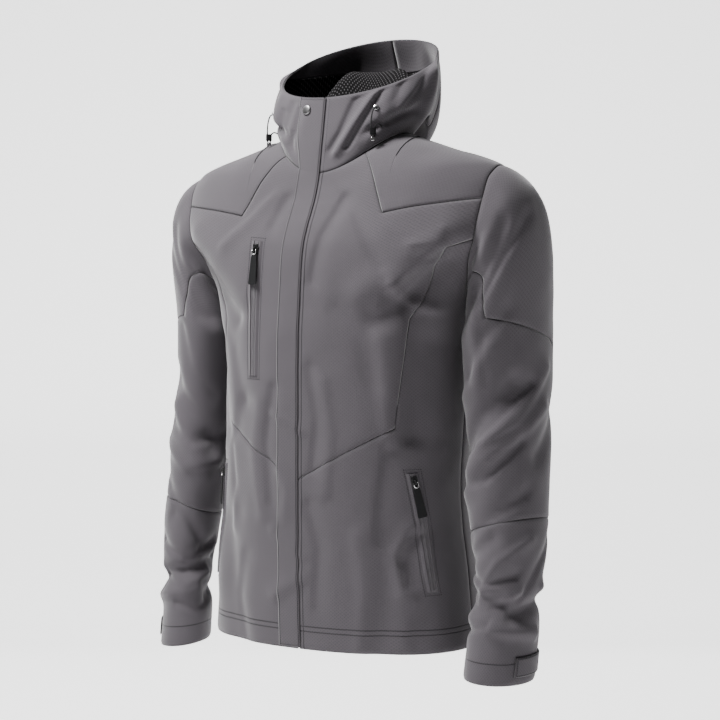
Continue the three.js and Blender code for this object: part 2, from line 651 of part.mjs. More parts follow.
// Seam lines that two panels share, on the wearer's left half
const waistCross = [YOKE_CORNER[0], mix(WAIST_FRONT, WAIST_CORNER[1], YOKE_CORNER[0] / WAIST_CORNER[0])];
const waistFront = seamLine([[FRONT_EDGE, WAIST_FRONT + 2], waistCross], [STEPS.across]);
const waistSide = seamLine([waistCross, WAIST_CORNER], [1]);
const waistFrontLevel = waistFront[0][1];
const sideAtWaist = [SIDE, WAIST_CORNER[1]];
const panelTopInner = onBody(...PANEL_TOP_INNER);
const panelTop = line([panelTopInner, onArmhole(PANEL_TOP)], [STEPS.panel]);
const panelLine = seamLine([WAIST_CORNER, ...PANEL_LINE, PANEL_TOP_INNER], [2, 3, 2, 1]);
const yokeCorner = onBody(...YOKE_CORNER);
const yokeAtArmhole = onArmhole(YOKE_FRONT);
const yokeOuter = line([yokeCorner, yokeAtArmhole], [STEPS.panel + 1]);
const yokeInner = line([yokeCorner, [neckAngle, 0]], [STEPS.yokeRise]);
const yokeBack = line([onArmhole(YOKE_BACK), [backNeckAngle, 0]], [STEPS.panel + 1 + STEPS.yokeRise]);
const neckFront = line([[angleAt(FRONT_EDGE, 0, 1), 0], [neckAngle, 0]], [STEPS.across]);
const neckSide = line([[neckAngle, 0], [backNeckAngle, 0]], [(360 + YOKE_FRONT - YOKE_BACK) / ARMHOLE_STEP]);
const neckBack = line([[backNeckAngle, 0], [360 - backNeckAngle, 0]], [STEPS.neck]);
const sideSeam = line([[SIDE, HEM], sideAtWaist, [SIDE, UNDERARM]], [STEPS.lower, STEPS.side]);

for (let turn = 0; turn < 360; turn += ARMHOLE_STEP) {
  const onBodySide = surfaceNormal("body", ...onArmhole(turn));
  leanTogether(armholePoint(turn), onBodySide, surfaceNormal("sleeve", turn, 0));
}
for (const [angle] of [...neckFront, ...neckSide, ...neckBack])
  leanTogether(bodyPoint(angle, 0), surfaceNormal("body", angle, 0), surfaceNormal("hood", angle, 0));

function buildFront() {
  const hem = [FRONT_EDGE, waistCross[0], WAIST_CORNER[0]].map((x) => angleAt(x, HEM, 1));
  const hemRow = (from, to, steps) => line([[from, HEM], [to, HEM]], [steps]);
  const toCross = line([[hem[1], HEM], waistFront.at(-1)], [STEPS.lower]);
  const toCorner = line([[hem[2], HEM], waistSide[1]], [STEPS.lower]);
  const cornerRow = line([waistSide[1], sideAtWaist], [STEPS.panel]);
  const lowEdge = line([[0, HEM], [0, waistFrontLevel]], [STEPS.lower], (_, at) => onFrontEdge(at));
  const panelSide = [...sideSeam.slice(STEPS.lower), ...armholeLine(180, PANEL_TOP).slice(1)];
  addPair("front_lower", [
    between(hemRow(hem[0], hem[1], STEPS.across), toCross, waistFront, lowEdge),
    between(hemRow(hem[1], hem[2], 1), toCorner, waistSide, toCross),
    between(hemRow(hem[2], SIDE, STEPS.panel), sideSeam.slice(0, STEPS.lower + 1), cornerRow, toCorner),
    between(cornerRow, panelSide, panelTop, panelLine),
  ], "body");

  const armholeSide = armholeLine(PANEL_TOP, YOKE_FRONT);
  const rows = panelLine.length - 1 + armholeSide.length - 1;
  const innerRise = line([waistFront.at(-1), yokeCorner], [rows]);
  const chestEdge = line([[0, waistFrontLevel], [0, YOKE_LEVEL]], [rows], (_, at) => onFrontEdge(at));
  const collarEdge = line([[0, YOKE_LEVEL], [0, 0]], [STEPS.yokeRise], (_, at) => onFrontEdge(at));
  const yokeRow = line([onFrontEdge(YOKE_LEVEL), yokeCorner], [STEPS.across]);
  const upToYoke = line([panelTopInner, yokeOuter[1]], [armholeSide.length - 1]);
  addPair("front_chest", [
    between(waistFront, innerRise, yokeRow, chestEdge),
    between(yokeRow, yokeInner, neckFront, collarEdge),
    between(waistSide, [...panelLine, ...upToYoke.slice(1)], yokeOuter.slice(0, 2), innerRise),
    between(panelTop, armholeSide, yokeOuter.slice(1), upToYoke),
  ], "body");
}

function buildYokesAndBack() {
  const armholeTop = armholeLine(YOKE_FRONT, YOKE_BACK - 360);
  const outerSteps = STEPS.panel + 1;
  const corners = [yokeCorner, yokeBack[outerSteps]];
  const [x0, x1] = corners.map((pair) => bodyPoint(...pair).x);
  const ridge = line(corners, [armholeTop.length - 1]).map((pair, i, row) => {
    const t = i / (row.length - 1);
    return t === 0 || t === 1 ? pair : [pair[0], levelAt(mix(x0, x1, t), pair[0])];
  });
  addPair("yoke", [
    between(armholeTop, yokeBack.slice(0, outerSteps + 1), ridge, [...yokeOuter].reverse()),
    between(ridge, yokeBack.slice(outerSteps), neckSide, yokeInner),
  ], "body");
  const left = [...sideSeam, ...armholeLine(180, YOKE_BACK).slice(1)];
  const top = [...yokeBack, ...neckBack.slice(1), ...acrossMiddle(yokeBack).reverse().slice(1)];
  const hem = line(
    [[SIDE, HEM], [backNeckAngle, HEM], [360 - backNeckAngle, HEM], [360 - SIDE, HEM]],
    [yokeBack.length - 1, STEPS.neck, yokeBack.length - 1],
  );
  add("back", wall([between(hem, acrossMiddle(left), top, left)], "body", -CLOTH, 0), "softshell");
}

// The sleeve: a cap over the shoulder, the middle with the underarm, and the forearm with the cuff
const capAlong = (z) => 1 + (CAP_END - z) / (CAP_END - CUFF);
function buildSleeves() {
  const [front, back] = [CAP_SEAM[0], CAP_SEAM.at(-1)];
  const armTurns = (from, to) => line([[from, 0], [to, 0]], [(to - from) / ARMHOLE_STEP]);
  const seamTop = line(CAP_SEAM.map((row) => [row.turn, row.along]), CAP_STEPS);
  const down = (turn, corner) => line([[turn, 0], [corner.turn, corner.along]], [STEPS.cap]);
  const frontDown = down(UNDER_FRONT, front);
  const backTurn = 360 + back.turn;
  const backDown = line([[360 - UNDER_FRONT, 0], [backTurn, back.along]], [STEPS.cap]);
  const capRow = [...seamTop].reverse();
  const capBack = backDown.map(([turn, along]) => [turn - 360, along]);
  addPair("sleeve_cap", [between(armTurns(-UNDER_FRONT, UNDER_FRONT), frontDown, capRow, capBack)], "sleeve");

  const still = (pair, steps) => Array.from({ length: steps + 1 }, () => pair);
  const [under0, under1] = [[UNDER_FRONT, 1], [360 - UNDER_FRONT, 1]];
  const toUnder0 = line([[UNDER_FRONT, 0], under0], [STEPS.cap]);
  const toUnder1 = line([[360 - UNDER_FRONT, 0], under1], [STEPS.cap]);
  const lowRows = [
    line([[front.turn, front.along], under0], [STEPS.gusset]),
    armTurns(UNDER_FRONT, 360 - UNDER_FRONT).map(([turn]) => [turn, 1]),
    line([under1, [backTurn, back.along]], [STEPS.gusset]),
  ];
  const whole = [...capRow, ...lowRows[0].slice(1), ...lowRows[1].slice(1), ...lowRows[2].slice(1)];
  const elbowAt = (turn) => capAlong(mix(ELBOW.outer, ELBOW.inner, (1 - Math.cos(rad(turn))) / 2));
  const elbow = whole.map(([turn]) => [turn, elbowAt(turn)]);
  const rowsDown = (top, foot, steps) => {
    const end = (i) => line([top.at(i), foot.at(i)], [steps]);
    return between(top, end(-1), foot, end(0));
  };
  addPair("sleeve_mid", [
    between(still([UNDER_FRONT, 0], STEPS.gusset), toUnder0, lowRows[0], frontDown),
    between(armTurns(UNDER_FRONT, 360 - UNDER_FRONT), toUnder1, lowRows[1], toUnder0),
    between(still([360 - UNDER_FRONT, 0], STEPS.gusset), backDown, lowRows[2], toUnder1),
    rowsDown(whole, elbow, STEPS.mid),
  ], "sleeve");
  const cuff = whole.map(([turn]) => [turn, 2]);
  addPair("sleeve_forearm", [rowsDown(elbow, cuff, STEPS.forearm)], "sleeve");

  const underarm = lowRows[2].map(([turn]) => turn - 360);
  const around = [...underarm, ...capRow.slice(1, CUFF_TAB.columns).map(([turn]) => turn)];
  const edge = (z) => around.map((turn) => [turn, capAlong(z)]);
  const side = (turn) => [[turn, capAlong(CUFF_TAB.top)], [turn, capAlong(CUFF_TAB.foot)]];
  const tab = between(edge(CUFF_TAB.top), side(around.at(-1)), edge(CUFF_TAB.foot), side(around[0]));
  addPair("cuff_tab", [tab], "sleeve", "softshell", OVER, OVER + CUFF_TAB.thick);
}

// The hood and collar are one surface: two sides, a middle panel, a facing inside the rim and a mesh lining
function buildHood() {
  const upAt = (angle, from, to, steps) => line([[angle, from], [angle, to]], [steps]);
  const rimRow = line([hoodEdge(1), [neckAngle, 1], [backNeckAngle, 1]], [STEPS.across, neckSide.length - 1]);
  const frontRise = line([[0, 0], [0, 1]], [STEPS.hood], (_, along) => hoodEdge(along));
  const backRise = upAt(backNeckAngle, 0, 1, STEPS.hood);
  const side = between([...neckFront, ...neckSide.slice(1)], backRise, rimRow, frontRise);
  addPair("hood_side", [side], "hood");
  const across = (along) => neckBack.map(([angle]) => [angle, along]);
  const middle = between(across(0), acrossMiddle(backRise), across(1), backRise);
  add("hood_middle", wall([middle], "hood", -CLOTH, 0), "softshell");

  const under = -CLOTH - LIFT;
  const inside = (grid, from, to, first = 0) => grid.slice(from, to + 1).map((row) => row.slice(first));
  const sideFacing = inside(side, FACING.from, FACING.to, FACING.first);
  const halfMiddle = inside(middle, FACING.from, FACING.to).map((row) => row.slice(0, STEPS.neck / 2 + 1));
  addPair("hood_facing", [sideFacing, halfMiddle], "hood", "softshell", under - FACING.thick, under);
  const sideLining = inside(side, FACING.foot, FACING.from, FACING.first);
  const otherSide = sideLining.map((row) => acrossMiddle(row).reverse());
  const lining = [sideLining, inside(middle, FACING.foot, FACING.from), otherSide];
  add("hood_lining", wall(lining, "hood", under - 2 * LIFT - LINING, under - 2 * LIFT), "lining");
}

// The flap and the zip it hides run the whole front, over the collar as well
function buildFrontClosing() {
  const rise = (x, top, { foot, head }) =>
    line([[x, foot], [x, 1], [x, head]], [STEPS.front, STEPS.collar], (_, along) => {
      return [mix(x, top, ease(along, FLAP_GROWS.from, FLAP_GROWS.to)), along];
    });
  const strip = (first, second, columns) => {
    const row = (i) => line([first.at(i), second.at(i)], [columns]);
    return between(row(0), second, row(-1), first);
  };
  const flap = strip(rise(FLAP.seam, FLAP.topSeam, FLAP), rise(FLAP.edge, FLAP.edge, FLAP), 3);
  add("front_flap", wall([flap], "front", OVER, OVER + FLAP.thick), "softshell");
  const zip = strip(rise(-ZIP_HALF, -ZIP_HALF, ZIP_RUN), rise(ZIP_HALF, ZIP_HALF, ZIP_RUN), 2);
  add("front_zip", wall([zip], "front", -CLOTH, 0), "zip");

  const profile = [[0, 0], [1, 0], [1, 0.35], [0.8, 0.8], [0.45, 1], [0, 1]];
  const outline = profile.map(([r, h]) => new THREE.Vector2(r * SNAP.radius, h * SNAP.height));
  const snap = add("snap_cap", merged(new THREE.LatheGeometry(outline, 16)), "metal");
  const normal = surfaceNormal("front", SNAP.x, SNAP.along);
  snap.position.copy(frontPoint(SNAP.x, SNAP.along)).addScaledVector(normal, OVER + FLAP.thick + LIFT);
  snap.quaternion.setFromUnitVectors(new THREE.Vector3(0, 1, 0), normal);
}

function sliderShape() {
  const plate = new THREE.BoxGeometry(2 * SLIDER.half, SLIDER.long, SLIDER.plate);
  plate.translate(0, 0, SLIDER.plate / 2);
  const arch = new THREE.Shape();
  const [half, inner] = [SLIDER.arch / 2, SLIDER.arch / 2 - SLIDER.post];
  const { high, corner, plate: sill } = SLIDER;
  arch.moveTo(-half, sill / 2).lineTo(half, sill / 2).lineTo(half, high - corner);
  arch.lineTo(half - corner, high).lineTo(corner - half, high).lineTo(-half, high - corner).closePath();
  const window = new THREE.Path();
  window.moveTo(-inner, sill * 0.6).lineTo(-inner, high - SLIDER.post);
  window.lineTo(inner, high - SLIDER.post).lineTo(inner, sill * 0.6).closePath();
  arch.holes.push(window);
  const bridge = new THREE.ExtrudeGeometry(arch, { depth: 2 * SLIDER.bridge, bevelEnabled: false });
  bridge.translate(0, 0, -SLIDER.bridge);
  bridge.rotateX(Math.PI / 2);
  bridge.rotateZ(Math.PI / 2);
  return fromManifold(asManifold(merged(plate)).add(asManifold(merged(bridge))));
}

// The pull turns about its bar, which passes under the slider's bridge. Its hole clears the bridge's foot.
function pullShape(length) {
  const outline = new THREE.Shape();
  const { neck, waist, foot, corner, eyeHalf } = PULL;
  const [top, shoulder] = [PULL.bar / 2, -PULL.eye - PULL.shoulder];
  outline.moveTo(-neck, top).lineTo(-neck, shoulder).lineTo(-waist, shoulder - PULL.flare);
  outline.lineTo(-foot, corner - length);
  outline.quadraticCurveTo(-foot, -length, corner - foot, -length);
  outline.lineTo(foot - corner, -length).quadraticCurveTo(foot, -length, foot, corner - length);
  outline.lineTo(waist, shoulder - PULL.flare).lineTo(neck, shoulder).lineTo(neck, top).closePath();
  const eye = new THREE.Path();
  eye.moveTo(-eyeHalf, -top).lineTo(eyeHalf, -top).lineTo(eyeHalf, -PULL.eye);
  eye.lineTo(-eyeHalf, -PULL.eye).closePath();
  outline.holes.push(eye);
  const settings = { depth: PULL.thick, bevelEnabled: false, curveSegments: 4 };
  const tab = new THREE.ExtrudeGeometry(outline, settings);
  tab.translate(0, 0, -PULL.thick / 2);
  return merged(tab);
}

function buildPocketZips() {
  for (const pocket of POCKET_ZIPS) {
    const path = seamLine([pocket.foot, pocket.top], [ZIP.steps]);
    const width = (angle, at) => bodyPoint(angle + 0.5, at).distanceTo(bodyPoint(angle - 0.5, at));
    const beside = (by) => path.map(([angle, at]) => [angle + by / width(angle, at), at]);
    const [lower, upper] = [beside(-ZIP.half), beside(ZIP.half)];
    const grid = lower.map((pair, i) => [pair, path[i], upper[i]]);
    const strip = wall([grid], "body", OVER, OVER + ZIP.thick, SEAM, pocket.mirror);
    add(pocket.name, strip, "zip");

    const length = bodyPoint(...path[0]).distanceTo(bodyPoint(...path.at(-1)));
    const at = (down) => {
      const t = (1 - down / length) * ZIP.steps;
      const i = Math.min(Math.floor(t), ZIP.steps - 1);
      return [0, 1].map((k) => mix(path[i][k], path[i + 1][k], t - i));
    };
    const pair = at(SLIDER.inset);
    const origin = bodyPoint(...pair);
    const up = origin.clone().sub(bodyPoint(...at(SLIDER.inset + pocket.lean))).normalize();
    const normal = surfaceNormal("body", ...pair);
    normal.addScaledVector(up, -normal.dot(up)).normalize();
    origin.addScaledVector(normal, OVER + ZIP.thick + LIFT);
    if (pocket.mirror) [origin, up, normal].forEach((vector) => vector.setX(-vector.x));
    const turn = new THREE.Matrix4().makeBasis(up.clone().cross(normal), up, normal);
    const side = pocket.name.split("_").pop();
    const named = (what) => (side === "zip" ? `chest_${what}` : `hand_${what}_${side}`);
    const slider = add(named("slider"), sliderShape(), "plastic");
    const pull = add(named("pull"), pullShape(pocket.tab), "rubber");
    slider.position.copy(origin);
    pull.position.copy(origin).addScaledVector(normal, SLIDER.axis);
    for (const piece of [slider, pull]) piece.quaternion.setFromRotationMatrix(turn);
  }
}

// A closed outline with round ends, upright, from one level to another
function uprightBlock(across, deep, from, to) {
  const outline = new THREE.Shape();
  outline.absarc(across - deep, 0, deep, -Math.PI / 2, Math.PI / 2);
  outline.absarc(deep - across, 0, deep, Math.PI / 2, (3 * Math.PI) / 2);
  const settings = { depth: to - from, bevelEnabled: false, curveSegments: 5 };
  const block = new THREE.ExtrudeGeometry(outline, settings);
  block.translate(0, 0, from);
  return block;
}

function tube(points, radius) {
  const section = new THREE.Shape();
  section.absarc(0, 0, radius, 0, 2 * Math.PI);
  const path = new THREE.CatmullRomCurve3(points.map((point) => new THREE.Vector3(...point)));
  const { steps, sides } = CORD;
  const settings = { steps, extrudePath: path, curveSegments: sides / 2, bevelEnabled: false };
  return merged(new THREE.ExtrudeGeometry(section, settings));
}

function buildDrawcords() {
  for (const [side, cord] of Object.entries(CORDS)) {
    add(`cord_${side}`, tube(cord.down, CORD.radius), "cord");
    add(`cord_return_${side}`, tube(cord.back, CORD.radius), "cord");
    const [first, second] = [cord.down.at(-1), cord.back[0]].map((end) => new THREE.Vector3(...end));
    const turn = Math.atan2(second.y - first.y, second.x - first.x);
    const middle = first.clone().add(second).multiplyScalar(0.5);
    const block = uprightBlock(LOCK.across, LOCK.deep, -LOCK.down, LOCK.up);
    block.rotateZ(turn).translate(...cord.lock);
    const holes = asManifold(tube(cord.down, LOCK.hole)).add(asManifold(tube(cord.back, LOCK.hole)));
    add(`cord_lock_${side}`, fromManifold(asManifold(merged(block)).subtract(holes)), "plastic");
    const end = uprightBlock(CORD_END.across, CORD_END.deep, -CORD_END.gap - CORD_END.long, -CORD_END.gap);
    end.rotateZ(turn).translate(...middle.toArray());
    add(`cord_end_${side}`, merged(end), "metal");

    const { angle, along } = cord.eyelet;
    const normal = surfaceNormal("hood", angle, along);
    const { outer, inner, thick } = EYELET;
    const [lip, flat] = [thick * 0.4, outer - 1];
    const profile = [[inner, 0], [outer, 0], [outer, lip], [flat, thick], [inner, thick], [inner, 0]];
    const ring = new THREE.LatheGeometry(profile.map(([r, h]) => new THREE.Vector2(r, h)), 12);
    const eyelet = add(`eyelet_${side}`, merged(ring), "metal");
    eyelet.position.copy(hoodPoint(angle, along)).addScaledVector(normal, OVER);
    eyelet.quaternion.setFromUnitVectors(new THREE.Vector3(0, 1, 0), normal);
  }
}

buildFront();
buildYokesAndBack();
buildSleeves();
buildHood();
buildFrontClosing();
buildPocketZips();
buildDrawcords();

export default jacket;
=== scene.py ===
# %% [markdown]
# A hooded softshell jacket, zipped up and filled out as if worn.
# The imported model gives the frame: every seam line, zip and fastener of this scene lies where its solid does.
# Only the sides of the hood rest a little lower and fuller on the shoulders than their solids do.
# On the real jacket each panel is cut flat and sewn. Here each panel is a thin wall of cloth, drawn on three
# shaped surfaces: the body, a sleeve and the hood. That keeps neighbouring panels exactly together at a seam,
# which a separate cloth simulation of each panel would not.

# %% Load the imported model
import math

import bmesh
import bpy
import numpy as np
from mathutils import Matrix, Vector
from mathutils.kdtree import KDTree


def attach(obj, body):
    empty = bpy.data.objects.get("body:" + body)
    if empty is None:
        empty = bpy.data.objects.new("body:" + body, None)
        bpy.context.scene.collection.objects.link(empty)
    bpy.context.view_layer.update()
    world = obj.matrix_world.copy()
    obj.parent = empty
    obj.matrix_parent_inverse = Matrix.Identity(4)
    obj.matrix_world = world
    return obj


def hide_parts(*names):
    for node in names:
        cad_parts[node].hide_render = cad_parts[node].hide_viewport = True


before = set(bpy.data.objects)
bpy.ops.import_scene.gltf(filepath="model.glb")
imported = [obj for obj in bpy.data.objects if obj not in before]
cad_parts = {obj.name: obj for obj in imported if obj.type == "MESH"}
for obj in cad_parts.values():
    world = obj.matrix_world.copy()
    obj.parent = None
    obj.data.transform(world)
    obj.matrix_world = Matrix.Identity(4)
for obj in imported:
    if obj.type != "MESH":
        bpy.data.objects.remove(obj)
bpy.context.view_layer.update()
MM = 0.001


def new_object(name, data):
    made = bpy.data.objects.new(name, data)
    bpy.context.scene.collection.objects.link(made)
    return made


def shade_smooth(mesh):
    mesh.polygons.foreach_set("use_smooth", np.ones(len(mesh.polygons), bool))

# %% [markdown]
# The camera stands in front of the wearer's left side, a little above the middle of the jacket, with a long
# lens, as for a catalogue picture. Its aim is given in picture points, away from the line to the jacket's
# upright axis.

# %% Camera
VIEW_AZIMUTH = math.radians(30)
VIEW_DISTANCE = 2.496
VIEW_HEIGHT = -0.2226
VIEW_LENS = 85.7
LENS_POINTS = 1714  # the lens's length in points of a picture that is 720 points wide
AIM_RIGHT, AIM_UP = 11 / LENS_POINTS, -70 / LENS_POINTS
ahead = Vector((-math.sin(VIEW_AZIMUTH), math.cos(VIEW_AZIMUTH), 0))
rightward = Vector((math.cos(VIEW_AZIMUTH), math.sin(VIEW_AZIMUTH), 0))
camera = new_object("camera", bpy.data.cameras.new("camera"))
camera.data.lens, camera.data.sensor_width = VIEW_LENS, 36
camera.location = -ahead * VIEW_DISTANCE + Vector((0, 0, VIEW_HEIGHT))
aim = ahead + rightward * AIM_RIGHT + Vector((0, 0, AIM_UP))
camera.rotation_euler = aim.to_track_quat("-Z", "Y").to_euler()
bpy.context.scene.camera = camera

# %% [markdown]
# Finishes are built from nodes. A short helper adds a node and fills its sockets in order, so that each
# finish below reads as a list of what it is made of.

# %% Node helpers
def add_node(tree, kind, *sources, **settings):
    made = tree.nodes.new(kind)
    for key, value in settings.items():
        setattr(made, key, value)
    for socket, source in zip(made.inputs, sources):
        if isinstance(source, bpy.types.NodeSocket):
            tree.links.new(source, socket)
        elif source is not None:
            socket.default_value = source
    return made


def calc(tree, operation, *values):
    return add_node(tree, "ShaderNodeMath", *values, operation=operation).outputs[0]


def new_finish(name, color, roughness, metallic=0.0, **sockets):
    material = bpy.data.materials.new(name)
    material.use_nodes = True
    shader = material.node_tree.nodes["Principled BSDF"]
    shader.inputs["Base Color"].default_value = (*color, 1)
    shader.inputs["Roughness"].default_value = roughness
    shader.inputs["Metallic"].default_value = metallic
    for socket, value in sockets.items():
        shader.inputs[socket.replace("_", " ")].default_value = value
    return material, material.node_tree, shader


def bands(tree, vector, period, turn):
    mapped = add_node(tree, "ShaderNodeMapping", vector, None, (0, 0, turn)).outputs[0]
    scale = 2 * math.pi / (20 * period)  # at scale 1 the texture's bands lie 2 pi / 20 apart
    return add_node(tree, "ShaderNodeTexWave", mapped, scale, bands_direction="X").outputs["Fac"]


def speckle(tree, scale, detail=3.0):
    place = add_node(tree, "ShaderNodeTexCoord").outputs["Object"]
    return add_node(tree, "ShaderNodeTexNoise", place, None, scale, detail).outputs["Fac"]


def spread(tree, value, low, high):
    return calc(tree, "MULTIPLY_ADD", value, high - low, low)


def tint(tree, shader, color, factor):
    mixed = add_node(tree, "ShaderNodeVectorMath", color, operation="SCALE")
    tree.links.new(factor, mixed.inputs["Scale"])
    tree.links.new(mixed.outputs[0], shader.inputs["Base Color"])


def emboss(tree, shader, height, depth):
    bump = tree.nodes.new("ShaderNodeBump")
    bump.inputs["Distance"].default_value = depth
    tree.links.new(height, bump.inputs["Height"])
    tree.links.new(bump.outputs[0], shader.inputs["Normal"])


def notch(tree, value, centre, half):
    away = calc(tree, "DIVIDE", calc(tree, "SUBTRACT", value, centre), half)
    return calc(tree, "EXPONENT", calc(tree, "MULTIPLY", calc(tree, "MULTIPLY", away, away), -1.0))

# %% [markdown]
# Softshell is a tight stretch weave bonded to a fleece back. Its face is matte, with fine diagonal ribs and a
# small diamond pattern. In a seam its colour is painted darker, as painted shade where the light doesn't
# reach. Both patterns read the piece's own UV map, which is in metres, so they keep their size on every
# panel. A channel is pressed in where a row of stitches runs, and painted shade darkens it too: rows are
# given by their height on the panel, columns by their place across it, and others by their distance from
# the panel's edge.

# %% Softshell
SHELL_COLOR = (0.0712, 0.0642, 0.072)
WEAVE, DIAMOND = 0.0013, 0.0034  # metres from one rib and from one row of diamonds to the next
HEM_ROWS, CUFF_ROW = (26, 33), 28  # millimetres that the stitch rows lie above the hem and the cuff
FRONT_ROW = 8.8  # the row beside the front opening, from the middle of the jacket
FLAP_INSET, TAB_INSET = 2.6, 2.4  # the rows inside the edge of the flap and of a cuff tab


def softshell(name, rows=(), columns=(), beside=()):
    material, tree, shader = new_finish(name, SHELL_COLOR, 0.8, Sheen_Weight=0.25, Sheen_Roughness=0.4)
    shader.inputs["Specular IOR Level"].default_value = 0.3
    cloth = add_node(tree, "ShaderNodeUVMap", uv_map="cloth").outputs[0]
    rising = bands(tree, cloth, WEAVE, math.radians(52))
    falling = bands(tree, cloth, WEAVE * 1.6, math.radians(-38))
    weave = calc(tree, "MULTIPLY_ADD", rising, falling, calc(tree, "MULTIPLY", rising, 0.5))
    diamond = calc(tree, "MULTIPLY", *(bands(tree, cloth, DIAMOND, math.radians(turn)) for turn in (48, -48)))
    split = add_node(tree, "ShaderNodeSeparateXYZ", cloth)
    seam = add_node(tree, "ShaderNodeAttribute", attribute_name="edge").outputs["Fac"]
    dip_and_painted_shade = notch(tree, seam, 0.0, 0.9)
    for place, axis in [*((row, 1) for row in rows), *((column, 0) for column in columns)]:
        channel = notch(tree, split.outputs[axis], place, 0.0009)
        dip_and_painted_shade = calc(tree, "MAXIMUM", dip_and_painted_shade, calc(tree, "MULTIPLY", channel, 0.9))
    for inset in beside:
        dip_and_painted_shade = calc(tree, "MAXIMUM", dip_and_painted_shade, calc(tree, "MULTIPLY", notch(tree, seam, inset, 0.8), 0.7))
    cloudy = spread(tree, speckle(tree, 14), 0.9, 1.1)
    grainy = spread(tree, speckle(tree, 700, 1), 0.86, 1.14)
    shade = calc(tree, "MULTIPLY", cloudy, grainy)
    # Seams and stitch channels are painted darker, down to 0.4 of the colour: painted shade, where the light
    # doesn't reach.
    for pattern, low, high in ((weave, 0.9, 1.07), (diamond, 1.05, 0.82), (dip_and_painted_shade, 1.0, 0.4)):
        shade = calc(tree, "MULTIPLY", shade, spread(tree, pattern, low, high))
    tint(tree, shader, SHELL_COLOR, shade)
    tree.links.new(spread(tree, cloudy, 0.6, 0.98), shader.inputs["Roughness"])
    height = calc(tree, "MULTIPLY_ADD", weave, 0.09, calc(tree, "MULTIPLY", dip_and_painted_shade, -0.5))
    emboss(tree, shader, height, 0.001)
    return material

# %% [markdown]
# The inside of the jacket is the dark back of the cloth. The hood is lined with black mesh, whose round holes
# stand in straight rows, each row shifted by half a step. The lighter cloth behind shows in them. The holes
# are drawn by the finish, because they are far smaller than the steps of the lining's own mesh.

# %% Lining, backing, tapes and hard finishes
def mesh_lining(name, pitch=0.0042):
    material, tree, shader = new_finish(name, (0.01, 0.01, 0.011), 0.8, Specular_IOR_Level=0.05)
    cloth = add_node(tree, "ShaderNodeUVMap", uv_map="cloth").outputs[0]
    across, down = (bands(tree, cloth, pitch, math.radians(turn)) for turn in (45, -45))
    hole = calc(tree, "GREATER_THAN", calc(tree, "MULTIPLY", across, down), 0.62)
    tint(tree, shader, (0.07, 0.066, 0.07), spread(tree, hole, 0.07, 1.0))
    emboss(tree, shader, calc(tree, "MULTIPLY", hole, -1.0), 0.0007)
    return material


def grained(name, color, roughness, scale, depth, metallic=0.0, **sockets):
    material, tree, shader = new_finish(name, color, roughness, metallic, **sockets)
    grain = speckle(tree, scale)
    tint(tree, shader, color, spread(tree, grain, 0.8, 1.2))
    tree.links.new(spread(tree, speckle(tree, scale * 0.3), roughness * 0.8, roughness * 1.2),
                   shader.inputs["Roughness"])
    emboss(tree, shader, grain, depth)
    return material


def ribbed_tape(name, color):
    material, tree, shader = new_finish(name, color, 0.7)
    cloth = add_node(tree, "ShaderNodeUVMap", uv_map="cloth").outputs[0]
    ribs = bands(tree, cloth, 0.0016, 0.0)
    ribbed, grainy = spread(tree, ribs, 0.7, 1.15), spread(tree, speckle(tree, 500), 0.85, 1.15)
    tint(tree, shader, color, calc(tree, "MULTIPLY", ribbed, grainy))
    emboss(tree, shader, ribs, 0.0004)
    return material


def braided(name):
    material, tree, shader = new_finish(name, (0.01, 0.01, 0.011), 0.75, Specular_IOR_Level=0.3)
    cloth = add_node(tree, "ShaderNodeUVMap", uv_map="cloth").outputs[0]
    plait = calc(tree, "MAXIMUM", *(bands(tree, cloth, 0.0011, math.radians(turn)) for turn in (35, -35)))
    tint(tree, shader, (0.012, 0.012, 0.013), spread(tree, plait, 0.4, 1.25))
    emboss(tree, shader, plait, 0.0003)
    return material


shell_finish = softshell("softshell_plain")
chest_finish = softshell("softshell_chest", columns=(FRONT_ROW * MM,))
flap_finish = softshell("softshell_flap", beside=(FLAP_INSET,))
tab_finish = softshell("softshell_tab", beside=(TAB_INSET,))
body_finish = softshell("softshell_hemmed", rows=[row * MM for row in HEM_ROWS], columns=(FRONT_ROW * MM,))
cuff_finish = softshell("softshell_cuff", rows=(CUFF_ROW * MM,))
rim_finish = softshell("softshell_rim")
thread_finish = grained("thread", (0.014, 0.013, 0.0145), 0.7, 900, 0.0001, Specular_IOR_Level=0.2)
backing_finish = grained("cloth_back", (0.02, 0.0195, 0.021), 0.95, 420, 0.0005,
                         Specular_IOR_Level=0.15)
lining_finish = mesh_lining("mesh_lining")
band_finish = ribbed_tape("zip_band", (0.092, 0.084, 0.093))
coil_finish = grained("zip_coil", (0.08, 0.073, 0.081), 0.4, 300, 0.0001)
tape_finish = grained("zip_tape", (0.016, 0.0155, 0.017), 0.8, 800, 0.0003, Specular_IOR_Level=0.2)
pull_finish = grained("zip_pull", (0.006, 0.006, 0.0065), 0.6, 260, 0.0002, Specular_IOR_Level=0.2)
plastic_finish = grained("moulded_plastic", (0.006, 0.006, 0.0065), 0.35, 200, 0.0001,
                         Specular_IOR_Level=0.35)
metal_finish = grained("plated_metal", (0.66, 0.65, 0.66), 0.22, 160, 0.0001, metallic=1.0)
snap_finish = grained("dark_metal", (0.26, 0.255, 0.26), 0.36, 160, 0.0001, metallic=1.0)
cord_finish = braided("braided_cord")
print("finishes:", len(bpy.data.materials))
